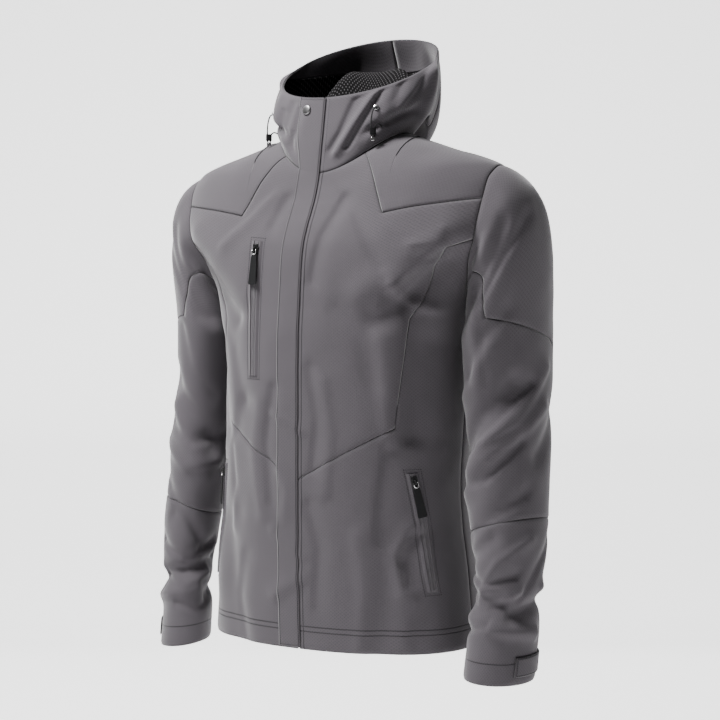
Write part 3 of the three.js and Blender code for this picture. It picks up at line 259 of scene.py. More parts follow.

# %% [markdown]
# Each piece below is made from a list of points in millimetres and a list of faces. Its UV map is in metres,
# and its object stays at the origin, as a solid's does. What the piece rides on and what it stands for are
# said in one call.

# %% Pieces
def new_mesh(name, points, faces, finishes, uv=None, kinds=None, edge=None):
    mesh = bpy.data.meshes.new(name)
    mesh.from_pydata((np.asarray(points) * MM).tolist(), [], faces)
    for finish in finishes:
        mesh.materials.append(finish)
    if kinds is not None:
        mesh.polygons.foreach_set("material_index", np.asarray(kinds, np.int32))
    shade_smooth(mesh)
    if uv is not None:
        corner = np.zeros(len(mesh.loops), np.int32)
        mesh.loops.foreach_get("vertex_index", corner)
        layer = mesh.uv_layers.new(name="cloth")
        layer.data.foreach_set("uv", np.asarray(uv, np.float32)[corner].ravel())
    if edge is not None:
        kept = mesh.attributes.new("edge", "FLOAT", "POINT")
        kept.data.foreach_set("value", np.asarray(edge, np.float32))
    mesh.update()
    return new_object(name, mesh)


def face_outwards(piece):
    shape = bmesh.new()
    shape.from_mesh(piece.data)
    bmesh.ops.recalc_face_normals(shape, faces=shape.faces)
    shape.to_mesh(piece.data)
    shape.free()


def fit(piece, *nodes, body="root", slot=None):
    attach(piece, body)
    if nodes:
        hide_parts(*nodes)
    return piece


def unit(vectors):
    return vectors / np.maximum(np.linalg.norm(vectors, axis=-1, keepdims=True), 1e-9)


def run_of(points):
    return np.concatenate([[0], np.cumsum(np.linalg.norm(np.diff(points, axis=0), axis=1))])

# %% [markdown]
# A smooth way between knots passes through each of them. From one knot to the next it takes its slopes from
# the knots on both sides, so the ends get one more knot each, straight on.

# %% Smooth curves
def between(p0, p1, p2, p3, t):
    return p1 + 0.5 * t * (p2 - p0 + t * (2 * p0 - 5 * p1 + 4 * p2 - p3 + t * (3 * p1 - p0 - 3 * p2 + p3)))


def straight_on(knots):
    return np.stack([2 * knots[0] - knots[1], *knots, 2 * knots[-1] - knots[-2]])


def smooth_curve(knots, steps):
    ends = straight_on(np.asarray(knots, float))
    t = np.linspace(0, 1, steps, endpoint=False)[:, None]
    rows = [between(*four, t) for four in zip(ends, ends[1:], ends[2:], ends[3:])]
    return np.concatenate([*rows, ends[-2:-1]])

# %% [markdown]
# A drawcord is a thin braided elastic. It leaves an eyelet in the collar, passes down through a spring lock
# into a small metal end, and comes back up through the lock into the collar's side. Both strands lie on the
# route of their solids, so the lock and the end sit on them.

# %% Drawcord routes
CORD_RADIUS = 1.0
CORD_ROUTES = {
    "left": {
        "down": [
            (77.9, -58.9, 32.5), (78.9, -61.2, 33.4), (79.2, -63.8, 32.7), (78.2, -66.2, 30.0),
            (76.8, -67.8, 25.0), (75.9, -68.8, 18.0), (75.6, -69.1, 10.0), (75.6, -68.8, 3.0),
            (75.6, -68.2, -3.0), (75.6, -67.8, -9.0),
        ],
        "back": [
            (79.1, -65.8, -9.0), (79.1, -66.0, -4.0), (79.3, -65.8, 1.5), (80.1, -64.8, 6.0),
            (81.7, -62.4, 9.0), (83.2, -59.2, 8.8), (84.0, -56.6, 6.9), (84.2, -55.4, 5.7),
        ],
    },
    "right": {
        "down": [
            (-109.0, -32.9, 34.0), (-111.2, -33.8, 33.2), (-113.4, -35.2, 30.6), (-114.4, -37.0, 25.5),
            (-114.4, -39.2, 18.5), (-113.6, -41.4, 11.5), (-112.8, -42.8, 4.5), (-112.2, -43.4, -1.5),
            (-112.0, -43.6, -7.0),
        ],
        "back": [
            (-108.5, -41.6, -7.0), (-108.6, -41.5, -2.5), (-108.2, -41.0, 2.0), (-106.4, -40.0, 5.4),
            (-103.6, -38.6, 6.9), (-100.6, -37.2, 6.0), (-98.4, -36.1, 4.4),
        ],
    },
}


def ring_at(centre, radius, side, other, sides):
    turns = np.linspace(0, 2 * np.pi, sides, endpoint=False)
    return centre + radius * (np.outer(np.cos(turns), side) + np.outer(np.sin(turns), other))


def ring_faces(rings, sides):
    ring, after = np.arange(sides), (np.arange(sides) + 1) % sides
    faces = []
    for low in range(0, (rings - 1) * sides, sides):
        faces += np.stack([low + ring, low + after, low + sides + after, low + sides + ring], 1).tolist()
    foot, last = np.full(sides, rings * sides), (rings - 1) * sides
    faces += np.stack([foot, after, ring], 1).tolist()
    return faces + np.stack([foot + 1, last + ring, last + after], 1).tolist()


def tube(name, path, radius, finish, sides=14):
    path = np.asarray(path)
    way = unit(np.gradient(path, axis=0))
    side, rings = unit(np.cross(way[0], (0, 1, 0.2))), []
    for point, ahead_of in zip(path, way):
        side = unit(side - ahead_of * (side @ ahead_of))
        rings.append(ring_at(point, radius, side, np.cross(ahead_of, side), sides))
    points = np.concatenate([*rings, path[:1], path[-1:]])
    across = np.tile(np.linspace(0, 2 * np.pi, sides, endpoint=False) * radius, len(path))
    along = np.repeat(run_of(path), sides)
    uv = np.stack([np.append(across, [0, 0]), np.append(along, [0, 0])], 1) * MM
    return new_mesh(name, points, ring_faces(len(path), sides), [finish], uv)

# %% Drawcords
cords = {}
for side, routes in CORD_ROUTES.items():
    for part, node in (("down", f"cord_{side}"), ("back", f"cord_return_{side}")):
        path = smooth_curve(routes[part], 5)
        strand = tube(f"drawcord_{part}_{side}", path, CORD_RADIUS, cord_finish)
        cords[part, side] = (fit(strand, node, slot="cord"), path * MM)

# %% [markdown]
# The lock, the metal end, the eyelets, the sliders and the pulls have their true shape already in the frame.
# Each is copied, its loose triangles are joined, and a small bevel takes the sharpness off its edges, as on a
# moulded or tumbled part. That is simpler than modelling them again, and they stay exactly where they belong.

# %% Small hard parts from their solids
def eased(name, node, finish, slot, width, body="root"):
    solid = bmesh.new()
    solid.from_mesh(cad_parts[node].data)
    bmesh.ops.remove_doubles(solid, verts=solid.verts, dist=1e-6)
    bmesh.ops.dissolve_limit(solid, angle_limit=math.radians(1), verts=solid.verts, edges=solid.edges)
    mesh = bpy.data.meshes.new(name)
    solid.to_mesh(mesh)
    solid.free()
    mesh.materials.clear()
    mesh.materials.append(finish)
    shade_smooth(mesh)
    mesh.set_sharp_from_angle(angle=math.radians(50))
    piece = new_object(name, mesh)
    rounding = piece.modifiers.new("eased edges", "BEVEL")
    rounding.width, rounding.segments, rounding.limit_method = width * MM, 2, "ANGLE"
    rounding.angle_limit = math.radians(35)
    return fit(piece, node, body=body, slot=slot)


for side in ("left", "right"):
    lock = eased(f"spring_lock_{side}", f"cord_lock_{side}", plastic_finish, "plastic", 0.7)
    tip = eased(f"metal_tip_{side}", f"cord_end_{side}", metal_finish, "metal", 0.6)
    eased(f"cord_eyelet_{side}", f"eyelet_{side}", metal_finish, "metal", 0.25)
    strand, path = cords["down", side]

# %% [markdown]
# The three surfaces come next. Each takes two numbers and gives a point: an angle and a level on the body, a
# turn round the arm and a share of its length on a sleeve, an angle and a share of the way to the edge on the
# hood. Tables of a few sections carry the shape, and a smooth curve that never overshoots joins their rows.
# Where a place is known only by the point it gives, it is found by halving.

# %% Smooth tables
def ease(value, low, high):
    t = np.clip((value - low) / (high - low), 0, 1)
    return t * t * (3 - 2 * t)


def mix(a, b, t):
    return a + (b - a) * t


def halving(holds, like, low, high, steps):
    low, high = np.full_like(like, low), np.full_like(like, high)
    for _ in range(steps):
        middle = (low + high) / 2
        inside = holds(middle)
        low, high = np.where(inside, middle, low), np.where(inside, high, middle)
    return low


def table_curve(x, y):
    x, y = np.asarray(x, float), np.asarray(y, float)
    rate = np.diff(y) / np.diff(x)
    product = rate[:-1] * rate[1:]
    inner = np.where(product > 0, 2 * product / np.where(product > 0, rate[:-1] + rate[1:], 1), 0)
    slope = np.concatenate([rate[:1], inner, rate[-1:]])

    def at(value):
        value = np.clip(value, x[0], x[-1])
        i = np.clip(np.searchsorted(x, value, side="right") - 1, 0, len(x) - 2)
        h = x[i + 1] - x[i]
        t = (value - x[i]) / h
        start, end = (1 + 2 * t) * (1 - t) ** 2 * y[i], t * t * (3 - 2 * t) * y[i + 1]
        return start + end + t * (1 - t) ** 2 * h * slope[i] + t * t * (t - 1) * h * slope[i + 1]

    return at


def curves_of(rows):
    columns = np.array(rows, float).T
    return [table_curve(columns[0], column) for column in columns[1:]]

# %% [markdown]
# Folds are soft troughs and ridges along short lines, given one by one. Each is a list of points, a half width
# and a height outwards in millimetres, negative for a trough. A lean makes one side of a fold steeper, as a
# real one is. The large ones repeat those of the solids, and the rest are only here. They are uneven in
# length, depth and spacing, and the sides that the picture hides carry similar ones.

# %% Fold fields
def fold_field(folds, a, b):
    total = np.zeros_like(a)
    for points, width, height, lean in folds:
        best = np.full_like(a, 1e9)
        side = np.zeros_like(a)
        for (a0, b0), (a1, b1) in zip(points, points[1:]):
            da, db = a1 - a0, b1 - b0
            t = np.clip(((a - a0) * da + (b - b0) * db) / (da * da + db * db), 0, 1)
            away = np.hypot(a - a0 - t * da, b - b0 - t * db)
            cross = (da * (b - b0) - db * (a - a0)) / math.hypot(da, db)
            nearer = away < best
            best, side = np.where(nearer, away, best), np.where(nearer, cross, side)
        reach = width * (1 + lean * np.tanh(side / width))
        total += height * np.exp(-((best / reach) ** 2))
    return total

# %% Body tables
HEM, UNDERARM, SIDE = -723, -252, 90
BODY_SECTIONS = [
    # level at the side, half width, front, back, front drop, back drop, squareness
    (HEM, 204, 141, 130, 0, 0, 2.3),
    (-640, 197, 144, 124, 0, 0, 2.3),
    (-500, 182, 147, 117, 0, 0, 2.3),
    (-385, 188, 147, 121, 0, 0, 2.3),
    (-290, 190, 146, 125, 0, 0, 2.3),
    (-240, 199, 142, 127, -3, 0, 2.3),
    (-182, 232, 137, 126, -6, 0, 2.25),
    (-150, 256, 132, 123, -12, 0, 2.2),
    (-115, 270, 121, 116, -20, -4, 2.15),
    (-85, 268, 109, 106, -28, -8, 2.15),
    (-50, 243, 99, 94, -43, -12, 2.2),
    (-25, 172, 92, 81, -49, -13, 2.2),
    (0, 98, 88, 68, -58, -14, 2.1),
]
ARMHOLE = [
    # angle and level on the body, every 30 degrees round the hole from its top towards the front
    (SIDE, -50), (81, -65), (77, -97), (74.5, -139), (77, -182), (82.5, -224),
    (SIDE, UNDERARM), (97, -226), (103, -184), (105.5, -140), (103.5, -98), (99, -66),
]
width_of, front_of, back_of, front_drop_of, back_drop_of, square_of = curves_of(BODY_SECTIONS)

# The large folds that the solids have too, on both halves: front or back, line in x and z, width, height.
BODY_FOLDS = [
    (1, [(222, -176), (118, -262)], 17, -8),
    (1, [(206, -142), (92, -226)], 22, 5),
    (1, [(176, -300), (150, -420)], 20, -7),
    (1, [(140, -560), (118, -720)], 24, -6),
    (1, [(182, -500), (160, -640)], 24, 4),
    (-1, [(206, -170), (110, -300)], 22, -7),
    (-1, [(150, -330), (60, -430)], 24, -6),
    (-1, [(90, -540), (70, -720)], 26, -6),
]
# Smaller folds, with x signed, so that the wearer's left is positive: the same, and the lean.
BODY_CREASES = [
    (1, [(30, -75), (70, -110), (120, -190)], 9, -2.4, 0.4),
    (1, [(45, -70), (95, -120), (150, -175)], 12, 2.2, -0.3),
    (1, [(60, -250), (95, -290), (112, -350)], 16, -2.2, 0.3),
    (1, [(20, -330), (34, -400), (26, -470)], 9, -2.0, 0.5),
    (1, [(40, -350), (52, -420), (44, -500)], 12, 1.8, -0.4),
    (1, [(-40, -360), (-52, -440), (-44, -520)], 9, -2.2, 0.4),
    (1, [(-62, -380), (-74, -450), (-60, -540)], 12, 1.8, 0.0),
    (1, [(-100, -380), (-120, -450), (-112, -540)], 14, -2.4, 0.3),
    (1, [(128, -446), (120, -510), (118, -566)], 10, -2.4, 0.4),
    (1, [(152, -546), (135, -588), (146, -640)], 7, 2.8, -0.3),
    (1, [(158, -560), (148, -592), (154, -626)], 7, -2.8, 0.3),
    (1, [(186, -430), (192, -500), (198, -570)], 10, -2.6, 0.3),
    (1, [(-118, -446), (-112, -500), (-126, -560)], 10, 2.0, 0.3),
    (1, [(-165, -250), (-120, -300), (-100, -380)], 14, -2.6, 0.3),
    (1, [(90, -560), (100, -640), (92, -715)], 13, 2.0, 0.3),
    (1, [(192, -160), (162, -192), (132, -218)], 9, 3.6, -0.4),
    (1, [(204, -182), (176, -208), (150, -236)], 9, -5.0, 0.3),
    (1, [(132, -216), (150, -236), (176, -250)], 7, 3.0, 0.3),
    (1, [(118, -250), (126, -330), (132, -420)], 15, 3.4, 0.3),
    (1, [(160, -262), (158, -340), (156, -424)], 13, -4.0, 0.3),
    (1, [(196, -140), (178, -156), (158, -160)], 5, 2.2, 0.3),
    (1, [(206, -166), (190, -178), (176, -182)], 4, -2.2, 0.3),
    (1, [(52, -96), (30, -150), (20, -210)], 10, -2.6, 0.4),
    (1, [(-42, -92), (-52, -116), (-58, -134)], 9, -2.4, 0.4),
    (1, [(-60, -84), (-96, -124), (-140, -158)], 9, 2.4, 0.3),
    (1, [(20, -520), (36, -580), (30, -660)], 11, -2.4, 0.4),
    (1, [(150, -600), (168, -650), (160, -706)], 10, -2.6, 0.4),
    (1, [(-40, -560), (-14, -574), (10, -592)], 8, 1.8, 0.3),
    (1, [(-38, -650), (-16, -634), (8, -622)], 10, 2.2, 0.3),
    (1, [(-30, -470), (-14, -500), (-20, -540)], 9, 1.6, 0.3),
    (1, [(-40, -396), (-18, -404), (8, -420)], 6, 1.8, 0.3),
    (1, [(-95, -600), (-110, -660), (-100, -715)], 13, -2.2, 0.3),
    (-1, [(-30, -90), (-90, -150), (-150, -200)], 14, -2.6, 0.3),
    (-1, [(20, -120), (80, -190), (120, -240)], 15, 2.4, 0.2),
    (-1, [(-60, -260), (-20, -330), (-36, -420)], 18, -3.0, 0.4),
    (-1, [(40, -300), (20, -400), (34, -480)], 16, 2.6, -0.3),
    (-1, [(-150, -430), (-80, -470), (10, -455)], 13, -3.4, 0.4),
    (-1, [(-140, -455), (-60, -498), (40, -486)], 14, 2.8, 0.3),
    (-1, [(150, -440), (90, -486), (20, -500)], 12, -2.8, -0.4),
    (-1, [(-120, -560), (-100, -640), (-112, -715)], 16, -2.8, 0.2),
    (-1, [(10, -570), (-6, -650), (8, -715)], 18, 2.6, 0.3),
]

# %% Body surface
FINE = 1.3  # how much deeper the small folds are pressed than their tables say
LARGE_FOLDS = {side: [(*fold[1:], 0.0) for fold in BODY_FOLDS if fold[0] == side] for side in (1, -1)}
SMALL_FOLDS = {side: [fold[1:] for fold in BODY_CREASES if fold[0] == side] for side in (1, -1)}


def body_point(angle, level, creased=True):
    c, s = np.cos(np.radians(angle)), np.sin(np.radians(angle))
    reach = np.where(c > 0, front_of(level), back_of(level))
    drop = np.where(c > 0, front_drop_of(level), back_drop_of(level))
    n = square_of(level)
    r = (np.abs(c / reach) ** n + np.abs(s / width_of(level)) ** n) ** (-1 / n)
    point = np.stack([r * s, -r * c, level + drop * c * c], -1)
    x, z = point[..., 0], point[..., 2]
    off_side = ease(np.abs(c), 0.05, 0.4)  # folds fade out towards the sides, the front edge and the neck
    fade = off_side * ease(np.abs(x), 45, 90) * ease(-z, 60, 130)
    front, back = (fold_field(LARGE_FOLDS[side], np.abs(x), z) for side in (1, -1))
    fold = np.where(c > 0, front, back) * fade
    if creased:
        front, back = (fold_field(SMALL_FOLDS[side], x, z) for side in (1, -1))
        fold = fold + np.where(c > 0, front, back) * off_side * ease(-z, 62, 100) * FINE
    way = unit(np.stack([s * 0.6, -c, 0 * c], -1))
    return point + way * fold[..., None]


def angle_at(x, level, face=1):
    x, level = np.broadcast_arrays(np.asarray(x, float), np.asarray(level, float))

    def nearer_than_x(angle):
        return body_point(angle if face > 0 else 180 - angle, level, creased=False)[..., 0] < x

    found = halving(nearer_than_x, x, 0, 90, 32)
    return found if face > 0 else 180 - found


def on_body(points):
    x, z = np.asarray(points, float).T
    level = z.copy()
    for _ in range(24):
        found = body_point(angle_at(x, level), level, creased=False)[..., 2]
        level = np.minimum(level + 0.7 * (z - found), 0)
    return np.stack([angle_at(x, level), level], -1)

# %% Sleeve tables
CAP_END, CUFF = -290, -752
SLEEVE_SECTIONS = [
    # level, centre x and y, half thickness, half width, twist, how much lower the outer side is
    (CUFF, 262, -43, 38, 54, 30, 5),
    (-700, 264, -34, 37, 54, 30, 3),
    (-654, 267, -27, 36, 49, 28, 0),
    (-625, 267, -24, 39, 53, 26, 0),
    (-577, 266, -18, 42, 58, 25, 0),
    (-524, 261, -10, 45, 63, 22, 0),
    (-452, 256, -1, 48, 68, 20, 0),
    (-400, 253, 7, 49, 71, 18, 0),
    (-340, 250, 11, 49, 76, 16, 0),
    (CAP_END, 248, 13, 50, 80, 15, 0),
]
arm_x, arm_y, arm_thin, arm_wide, arm_twist, arm_tip = curves_of(SLEEVE_SECTIONS)
TURN_MM = 1.05  # millimetres round the arm for a degree of turn
CAP_MM = 190  # and along the cap, from the armhole to its end
# The large folds that the solids have too: line in turn and z, width, height.
SLEEVE_FOLDS = [
    ([(95, -150), (150, -250)], 13, 6),
    ([(62, -130), (118, -262)], 14, -5),
    ([(30, -352), (128, -452)], 17, -9),
    ([(48, -392), (118, -500)], 18, 6),
    ([(-60, -380), (-10, -450)], 16, -6),
    ([(180, -420), (240, -500)], 18, -7),
    ([(60, -560), (150, -610)], 13, -5),
    ([(40, -648), (190, -628)], 11, -8),
    ([(-80, -640), (20, -662)], 11, -7),
    ([(-30, -690), (120, -668)], 10, 6),
    ([(150, -680), (290, -655)], 12, -7),
]
# Smaller folds of each arm: the same, and the lean.
SLEEVE_CREASES = {
    1: [
        ([(20, -120), (60, -180), (84, -240)], 9, -2.6, 0.3),
        ([(50, -96), (88, -140), (118, -182)], 8, 4.4, -0.4),
        ([(74, -92), (108, -134), (134, -168)], 8, -3.6, 0.3),
        ([(88, -258), (82, -300), (78, -352)], 9, 3.2, 0.3),
        ([(6, -350), (48, -394), (92, -438)], 7, -3.8, 0.4),
        ([(-14, -384), (30, -424), (64, -452)], 12, 3.4, 0.3),
        ([(40, -250), (80, -300), (100, -340)], 12, -2.6, 0.3),
        ([(60, -300), (90, -350), (140, -380)], 11, 2.4, -0.3),
        ([(-20, -330), (30, -400), (80, -430)], 10, 2.6, 0.4),
        ([(20, -430), (70, -480), (120, -490)], 9, -3.2, 0.4),
        ([(10, -500), (60, -530), (110, -560)], 10, -2.6, 0.3),
        ([(0, -560), (50, -590), (90, -640)], 9, 2.4, -0.3),
        ([(20, -610), (80, -622), (140, -604)], 7, -3.4, 0.5),
        ([(10, -632), (70, -648), (130, -640)], 7, 3.0, 0.3),
        ([(60, -676), (110, -690), (160, -676)], 7, -3.0, 0.4),
        ([(-60, -560), (-20, -600), (10, -640)], 9, -2.6, 0.3),
        ([(200, -300), (240, -360), (250, -420)], 12, -2.8, 0.3),
        ([(230, -540), (270, -590), (300, -620)], 10, -3.0, 0.4),
        ([(210, -610), (260, -640), (320, -630)], 8, 2.8, 0.3),
    ],
    -1: [
        ([(30, -140), (70, -200), (100, -260)], 10, -2.6, 0.3),
        ([(60, -280), (80, -340), (120, -380)], 12, -2.6, -0.3),
        ([(30, -420), (90, -450), (150, -440)], 9, -3.2, 0.4),
        ([(20, -450), (80, -486), (140, -480)], 10, 2.8, 0.3),
        ([(40, -520), (90, -560), (130, -610)], 10, -3.0, 0.3),
        ([(20, -600), (90, -625), (160, -606)], 8, -3.6, 0.4),
        ([(30, -640), (90, -662), (150, -648)], 8, 3.2, 0.4),
        ([(70, -690), (120, -700), (170, -684)], 7, -2.6, 0.4),
        ([(-60, -420), (-20, -470), (20, -500)], 10, -2.6, 0.3),
        ([(-70, -600), (-30, -640), (20, -670)], 9, -2.8, 0.3),
        ([(200, -320), (240, -380), (262, -440)], 12, -2.8, 0.3),
        ([(220, -560), (262, -604), (300, -640)], 10, -3.0, 0.4),
    ],
}

# %% Sleeve surface
def on_armhole(turn):
    place = np.asarray(turn, float) % 360 / 30
    i, t = np.floor(place).astype(int), (place - np.floor(place))[..., None]
    table = np.array(ARMHOLE, float)
    return between(*(table[(i + k) % len(table)] for k in (-1, 0, 1, 2)), t)


def straight_sleeve(turn, z):
    c, s, tw = np.cos(np.radians(turn)), np.sin(np.radians(turn)), np.radians(arm_twist(z))
    across, along = arm_thin(z) * c, -arm_wide(z) * s
    x = arm_x(z) + across * np.cos(tw) + along * np.sin(tw)
    y = arm_y(z) - across * np.sin(tw) + along * np.cos(tw)
    return np.stack([x, y, z - arm_tip(z) * c], -1)


# From the armhole to the cap's end, along is 0 to 1 and the cloth bends over the shoulder. Then it is 1 to 2.
def sleeve_point(turn, along, side=1):
    turn, along = np.asarray(turn, float), np.asarray(along, float)
    lower = straight_sleeve(turn, mix(CAP_END, CUFF, np.maximum(along, 1) - 1))
    angle, level = on_armhole(turn).T
    start = body_point(side * angle, level) * (side, 1, 1)
    end = straight_sleeve(turn, np.full_like(turn, CAP_END))
    length = np.linalg.norm(end - start, axis=-1)
    outer = (1 + np.cos(np.radians(turn))) / 2
    leave = np.stack([0.95 + 0 * outer, 0.1 * outer, -0.3 + 0 * outer], -1)
    leave = leave * (length * mix(0.7, 1.15, outer))[..., None]
    arrive = np.array([0.03, 0, -1]) * (length * mix(0.8, 1.05, outer))[..., None]
    t = np.minimum(along, 1)[..., None]
    cap = (1 + 2 * t) * (1 - t) ** 2 * start + t * (1 - t) ** 2 * leave
    cap = cap + t * t * (3 - 2 * t) * end + t * t * (t - 1) * arrive
    point = np.where((along >= 1)[..., None], lower, cap)
    fold = np.zeros_like(turn)
    large = [(line, width, height, 0.0) for line, width, height in SLEEVE_FOLDS]
    small = [(line, width, height * FINE, lean) for line, width, height, lean in SLEEVE_CREASES[side]]
    for line, width, height, lean in large + small:
        middle = (line[0][0] + line[-1][0]) / 2
        near = turn - 360 * np.round((turn - middle) / 360)
        scaled = [(a * TURN_MM, b) for a, b in line]
        fold += fold_field([(scaled, width, height, lean)], near * TURN_MM, point[..., 2])
    fold *= ease(along, 0.06, 0.35) * (1 - ease(along, 1.9, 1.97))
    tw, c, s = np.radians(arm_twist(point[..., 2])), np.cos(np.radians(turn)), np.sin(np.radians(turn))
    way = np.stack([c * np.cos(tw) - s * np.sin(tw), -c * np.sin(tw) - s * np.cos(tw), 0 * c], -1)
    return (point + way * fold[..., None]) * (side, 1, 1)

# %% Hood surface
RIM_WIDTH, RIM_DEPTH, RIM_MIDDLE, RIM_CHIN, RIM_RISE = 119, 102, 33, 50, 0.52
HOOD_BACK = [(0, 0), (4, 58), (18, 112), (38, 74), (58, 2), (88, 34), (90, 112)]
HOOD_SIDE = [(0, 0), (6, 7), (13, 15), (20, 25), (27, 40), (33, 63), (36, 90)]
HOOD_MM = 1.75  # millimetres round the collar for a degree
HOOD_FRONT_TALL, HOOD_BACK_TALL = 110, 350  # from the neck seam to the hood's edge, over the cloth
COLLAR_BULGE, COLLAR_FOLD = 13, 7  # how far the collar stands out, and the depth of the trough round it
# Folds of the collar and hood: line in degrees and share of the way up, width, height and lean.
HOOD_CREASES = [
    ([(38, 0.97), (29, 0.66), (16, 0.24)], 8, 5.0, 0.3),
    ([(42, 0.92), (35, 0.66), (25, 0.26)], 5.5, -4.6, 0.2),
    ([(24, 0.9), (17, 0.5), (10, 0.3)], 7, -3.2, 0.3),
    ([(58, 0.96), (54, 0.7), (58, 0.3)], 7, -3.4, 0.3),
    ([(-22, 0.8), (-26, 0.5), (-34, 0.24)], 6, -3.4, 0.3),
    ([(-40, 0.7), (-44, 0.4), (-52, 0.16)], 7, -3.6, 0.3),
    ([(80, 0.8), (66, 0.5), (60, 0.2)], 9, -3.0, 0.3),
    ([(100, 0.85), (96, 0.6), (90, 0.4)], 12, 3.2, 0.3),
    ([(125, 0.8), (120, 0.66), (128, 0.5)], 12, -3.4, 0.3),
    ([(-30, 0.85), (-36, 0.5), (-30, 0.2)], 8, -2.8, 0.3),
    ([(-48, 0.9), (-52, 0.55), (-46, 0.25)], 8, 3.0, 0.3),
    ([(-84, 0.8), (-76, 0.5), (-70, 0.2)], 9, -3.0, 0.3),
    ([(-120, 0.85), (-112, 0.66), (-104, 0.5)], 12, -3.2, 0.3),
    ([(-150, 0.9), (-158, 0.74), (-150, 0.6)], 13, 3.0, 0.3),
    ([(155, 0.92), (164, 0.8), (158, 0.64)], 13, -3.2, 0.3),
]


def rim_point(angle):
    a = np.radians(angle)
    y = RIM_MIDDLE - RIM_DEPTH * np.cos(a)
    return np.stack([RIM_WIDTH * np.sin(a), y, RIM_CHIN + (y - RIM_MIDDLE + RIM_DEPTH) * RIM_RISE], -1)


def hood_tall(side):
    return mix(HOOD_FRONT_TALL, HOOD_BACK_TALL, ease(side, 80, 180))


# The collar stands straight at the front. Further round, the hood rests on the shoulder, and at the back it
# falls over and comes up again to its edge.
def hood_point(angle, along):
    angle, along = (np.asarray(value, float) for value in np.broadcast_arrays(angle, along))
    seam, rim = body_point(angle, np.zeros_like(angle)), rim_point(angle)
    outward = np.stack([np.sin(np.radians(angle)), -np.cos(np.radians(angle)), 0 * angle], -1)
    signed = (angle + 180) % 360 - 180
    side = np.abs(signed)
    rested, folded = (ease(side, low, high)[:, None] for low, high in ((74, 108), (102, 156)))
    reach = mix(0.7, 1, ease(side, 112, 176))[:, None]
    bulge = COLLAR_BULGE * ease(side, 8, 60)
    knots = []
    for i, (out, up) in enumerate(HOOD_BACK):
        share = i / len(HOOD_BACK)
        straight = mix(seam, rim, share) + outward * (bulge * math.sin(math.pi * share))[:, None]
        side_out, side_up = HOOD_SIDE[i]
        resting = mix(straight, seam + outward * side_out + np.array([0, 0, side_up]), rested)
        knots.append(mix(resting, seam + outward * (out * reach) + np.array([0, 0, up]), folded))
    knots = straight_on([*knots, rim])
    place = along * len(HOOD_BACK)
    i = np.clip(np.floor(place).astype(int), 0, len(HOOD_BACK) - 1)
    t, each = (place - i)[:, None], np.arange(len(angle))
    point = between(*(knots[i + k, each] for k in range(4)), t)
    trough = COLLAR_FOLD * ease(side, 28, 48) * (1 - ease(side, 76, 100))
    trough = trough * np.exp(-(((along - 0.36) / 0.09) ** 2))
    folds = []
    for line, *rest in HOOD_CREASES:
        tall = hood_tall(abs(line[1][0]))
        folds.append(([(a * HOOD_MM, b * tall) for a, b in line], *rest))
    fold = fold_field(folds, signed * HOOD_MM, along * hood_tall(side))
    fold *= ease(along, 0.02, 0.2) * (1 - ease(along, 0.9, 0.99))
    return point + outward * (fold - trough)[:, None]


def front_point(x, along):
    x, along = np.asarray(x, float), np.asarray(along, float)
    sign, size = np.where(x < 0, -1, 1), np.abs(x)
    level = mix(HEM, 0, np.minimum(along, 1))
    on_front = body_point(sign * angle_at(size, level), level)
    up = np.maximum(along - 1, 0)
    angle = sign * halving(lambda a: np.abs(hood_point(sign * a, up)[:, 0]) < size, x, 0, 60, 26)
    return np.where((along <= 1)[:, None], on_front, hood_point(angle, up))

# %% [markdown]
# A panel is drawn between its seam lines. A seam line is a list of number pairs on one surface, and the
# panels on both sides of a seam share the same list. The steps are about 4 mm, and closer to a seam, where
# the cloth dips. A Coons patch fills in the rest between four lines.

# %% Seam lines and patches
NEAR_SEAM = [0.3, 0.9, 1.9, 3.4]  # steps closer to a seam, in place of 1, 2, 3 and 4


def marks(count, first=0, last=0):
    steps = np.arange(count + 1, dtype=float)
    if first:
        steps[1:5] = NEAR_SEAM
    if last:
        steps[-5:-1] = count - np.array(NEAR_SEAM[::-1])
    return steps / count


def line(corners, *legs):
    points = [np.array(corners[0], float)[None]]
    for start, end, leg in zip(corners, corners[1:], legs):
        start, end = np.array(start, float), np.array(end, float)
        points.append(start + (end - start) * leg[1:, None])
    return np.concatenate(points)


def straight(start, end, *legs):
    counts = [len(leg) - 1 for leg in legs]
    ends = np.cumsum([0, *counts]) / sum(counts)
    places = [low + (high - low) * leg[1:] for low, high, leg in zip(ends, ends[1:], legs)]
    return line([start, end], np.concatenate([[0.0], *places]))


def joined(*parts):
    return np.concatenate([parts[0], *(part[1:] for part in parts[1:])])


def shares(edge, other):
    runs = []
    for run in (run_of(edge), run_of(other)):
        if run[-1] > 0:
            runs.append(run / run[-1])
    return sum(runs) / len(runs)


def patch(bottom, right, top, left):
    s, t = shares(bottom, top)[None, :, None], shares(left, right)[:, None, None]
    flat = (1 - t) * bottom + t * top + (1 - s) * left[:, None] + s * right[:, None]
    flat = flat - (1 - s) * (1 - t) * bottom[0] - s * (1 - t) * bottom[-1]
    return flat - (1 - s) * t * top[0] - s * t * top[-1]


def across_middle(edge):
    return np.stack([360 - edge[:, 0], edge[:, 1]], -1)

# %% Seams of the body
FRONT_EDGE = 1.2
YOKE_CORNER, YOKE_NECK, YOKE_LEVEL, YOKE_FRONT, YOKE_BACK = (115, -117), 65, -92, 60, 300
WAIST_CORNER, WAIST_FRONT = (134, -412), -488
PANEL_LINE = [(141, -357), (153, -263), (186, -190)]
PANEL_TOP_INNER, PANEL_TOP = (203, -166), 100
TURN_STEP = 10 / 3  # degrees round the armhole between two points

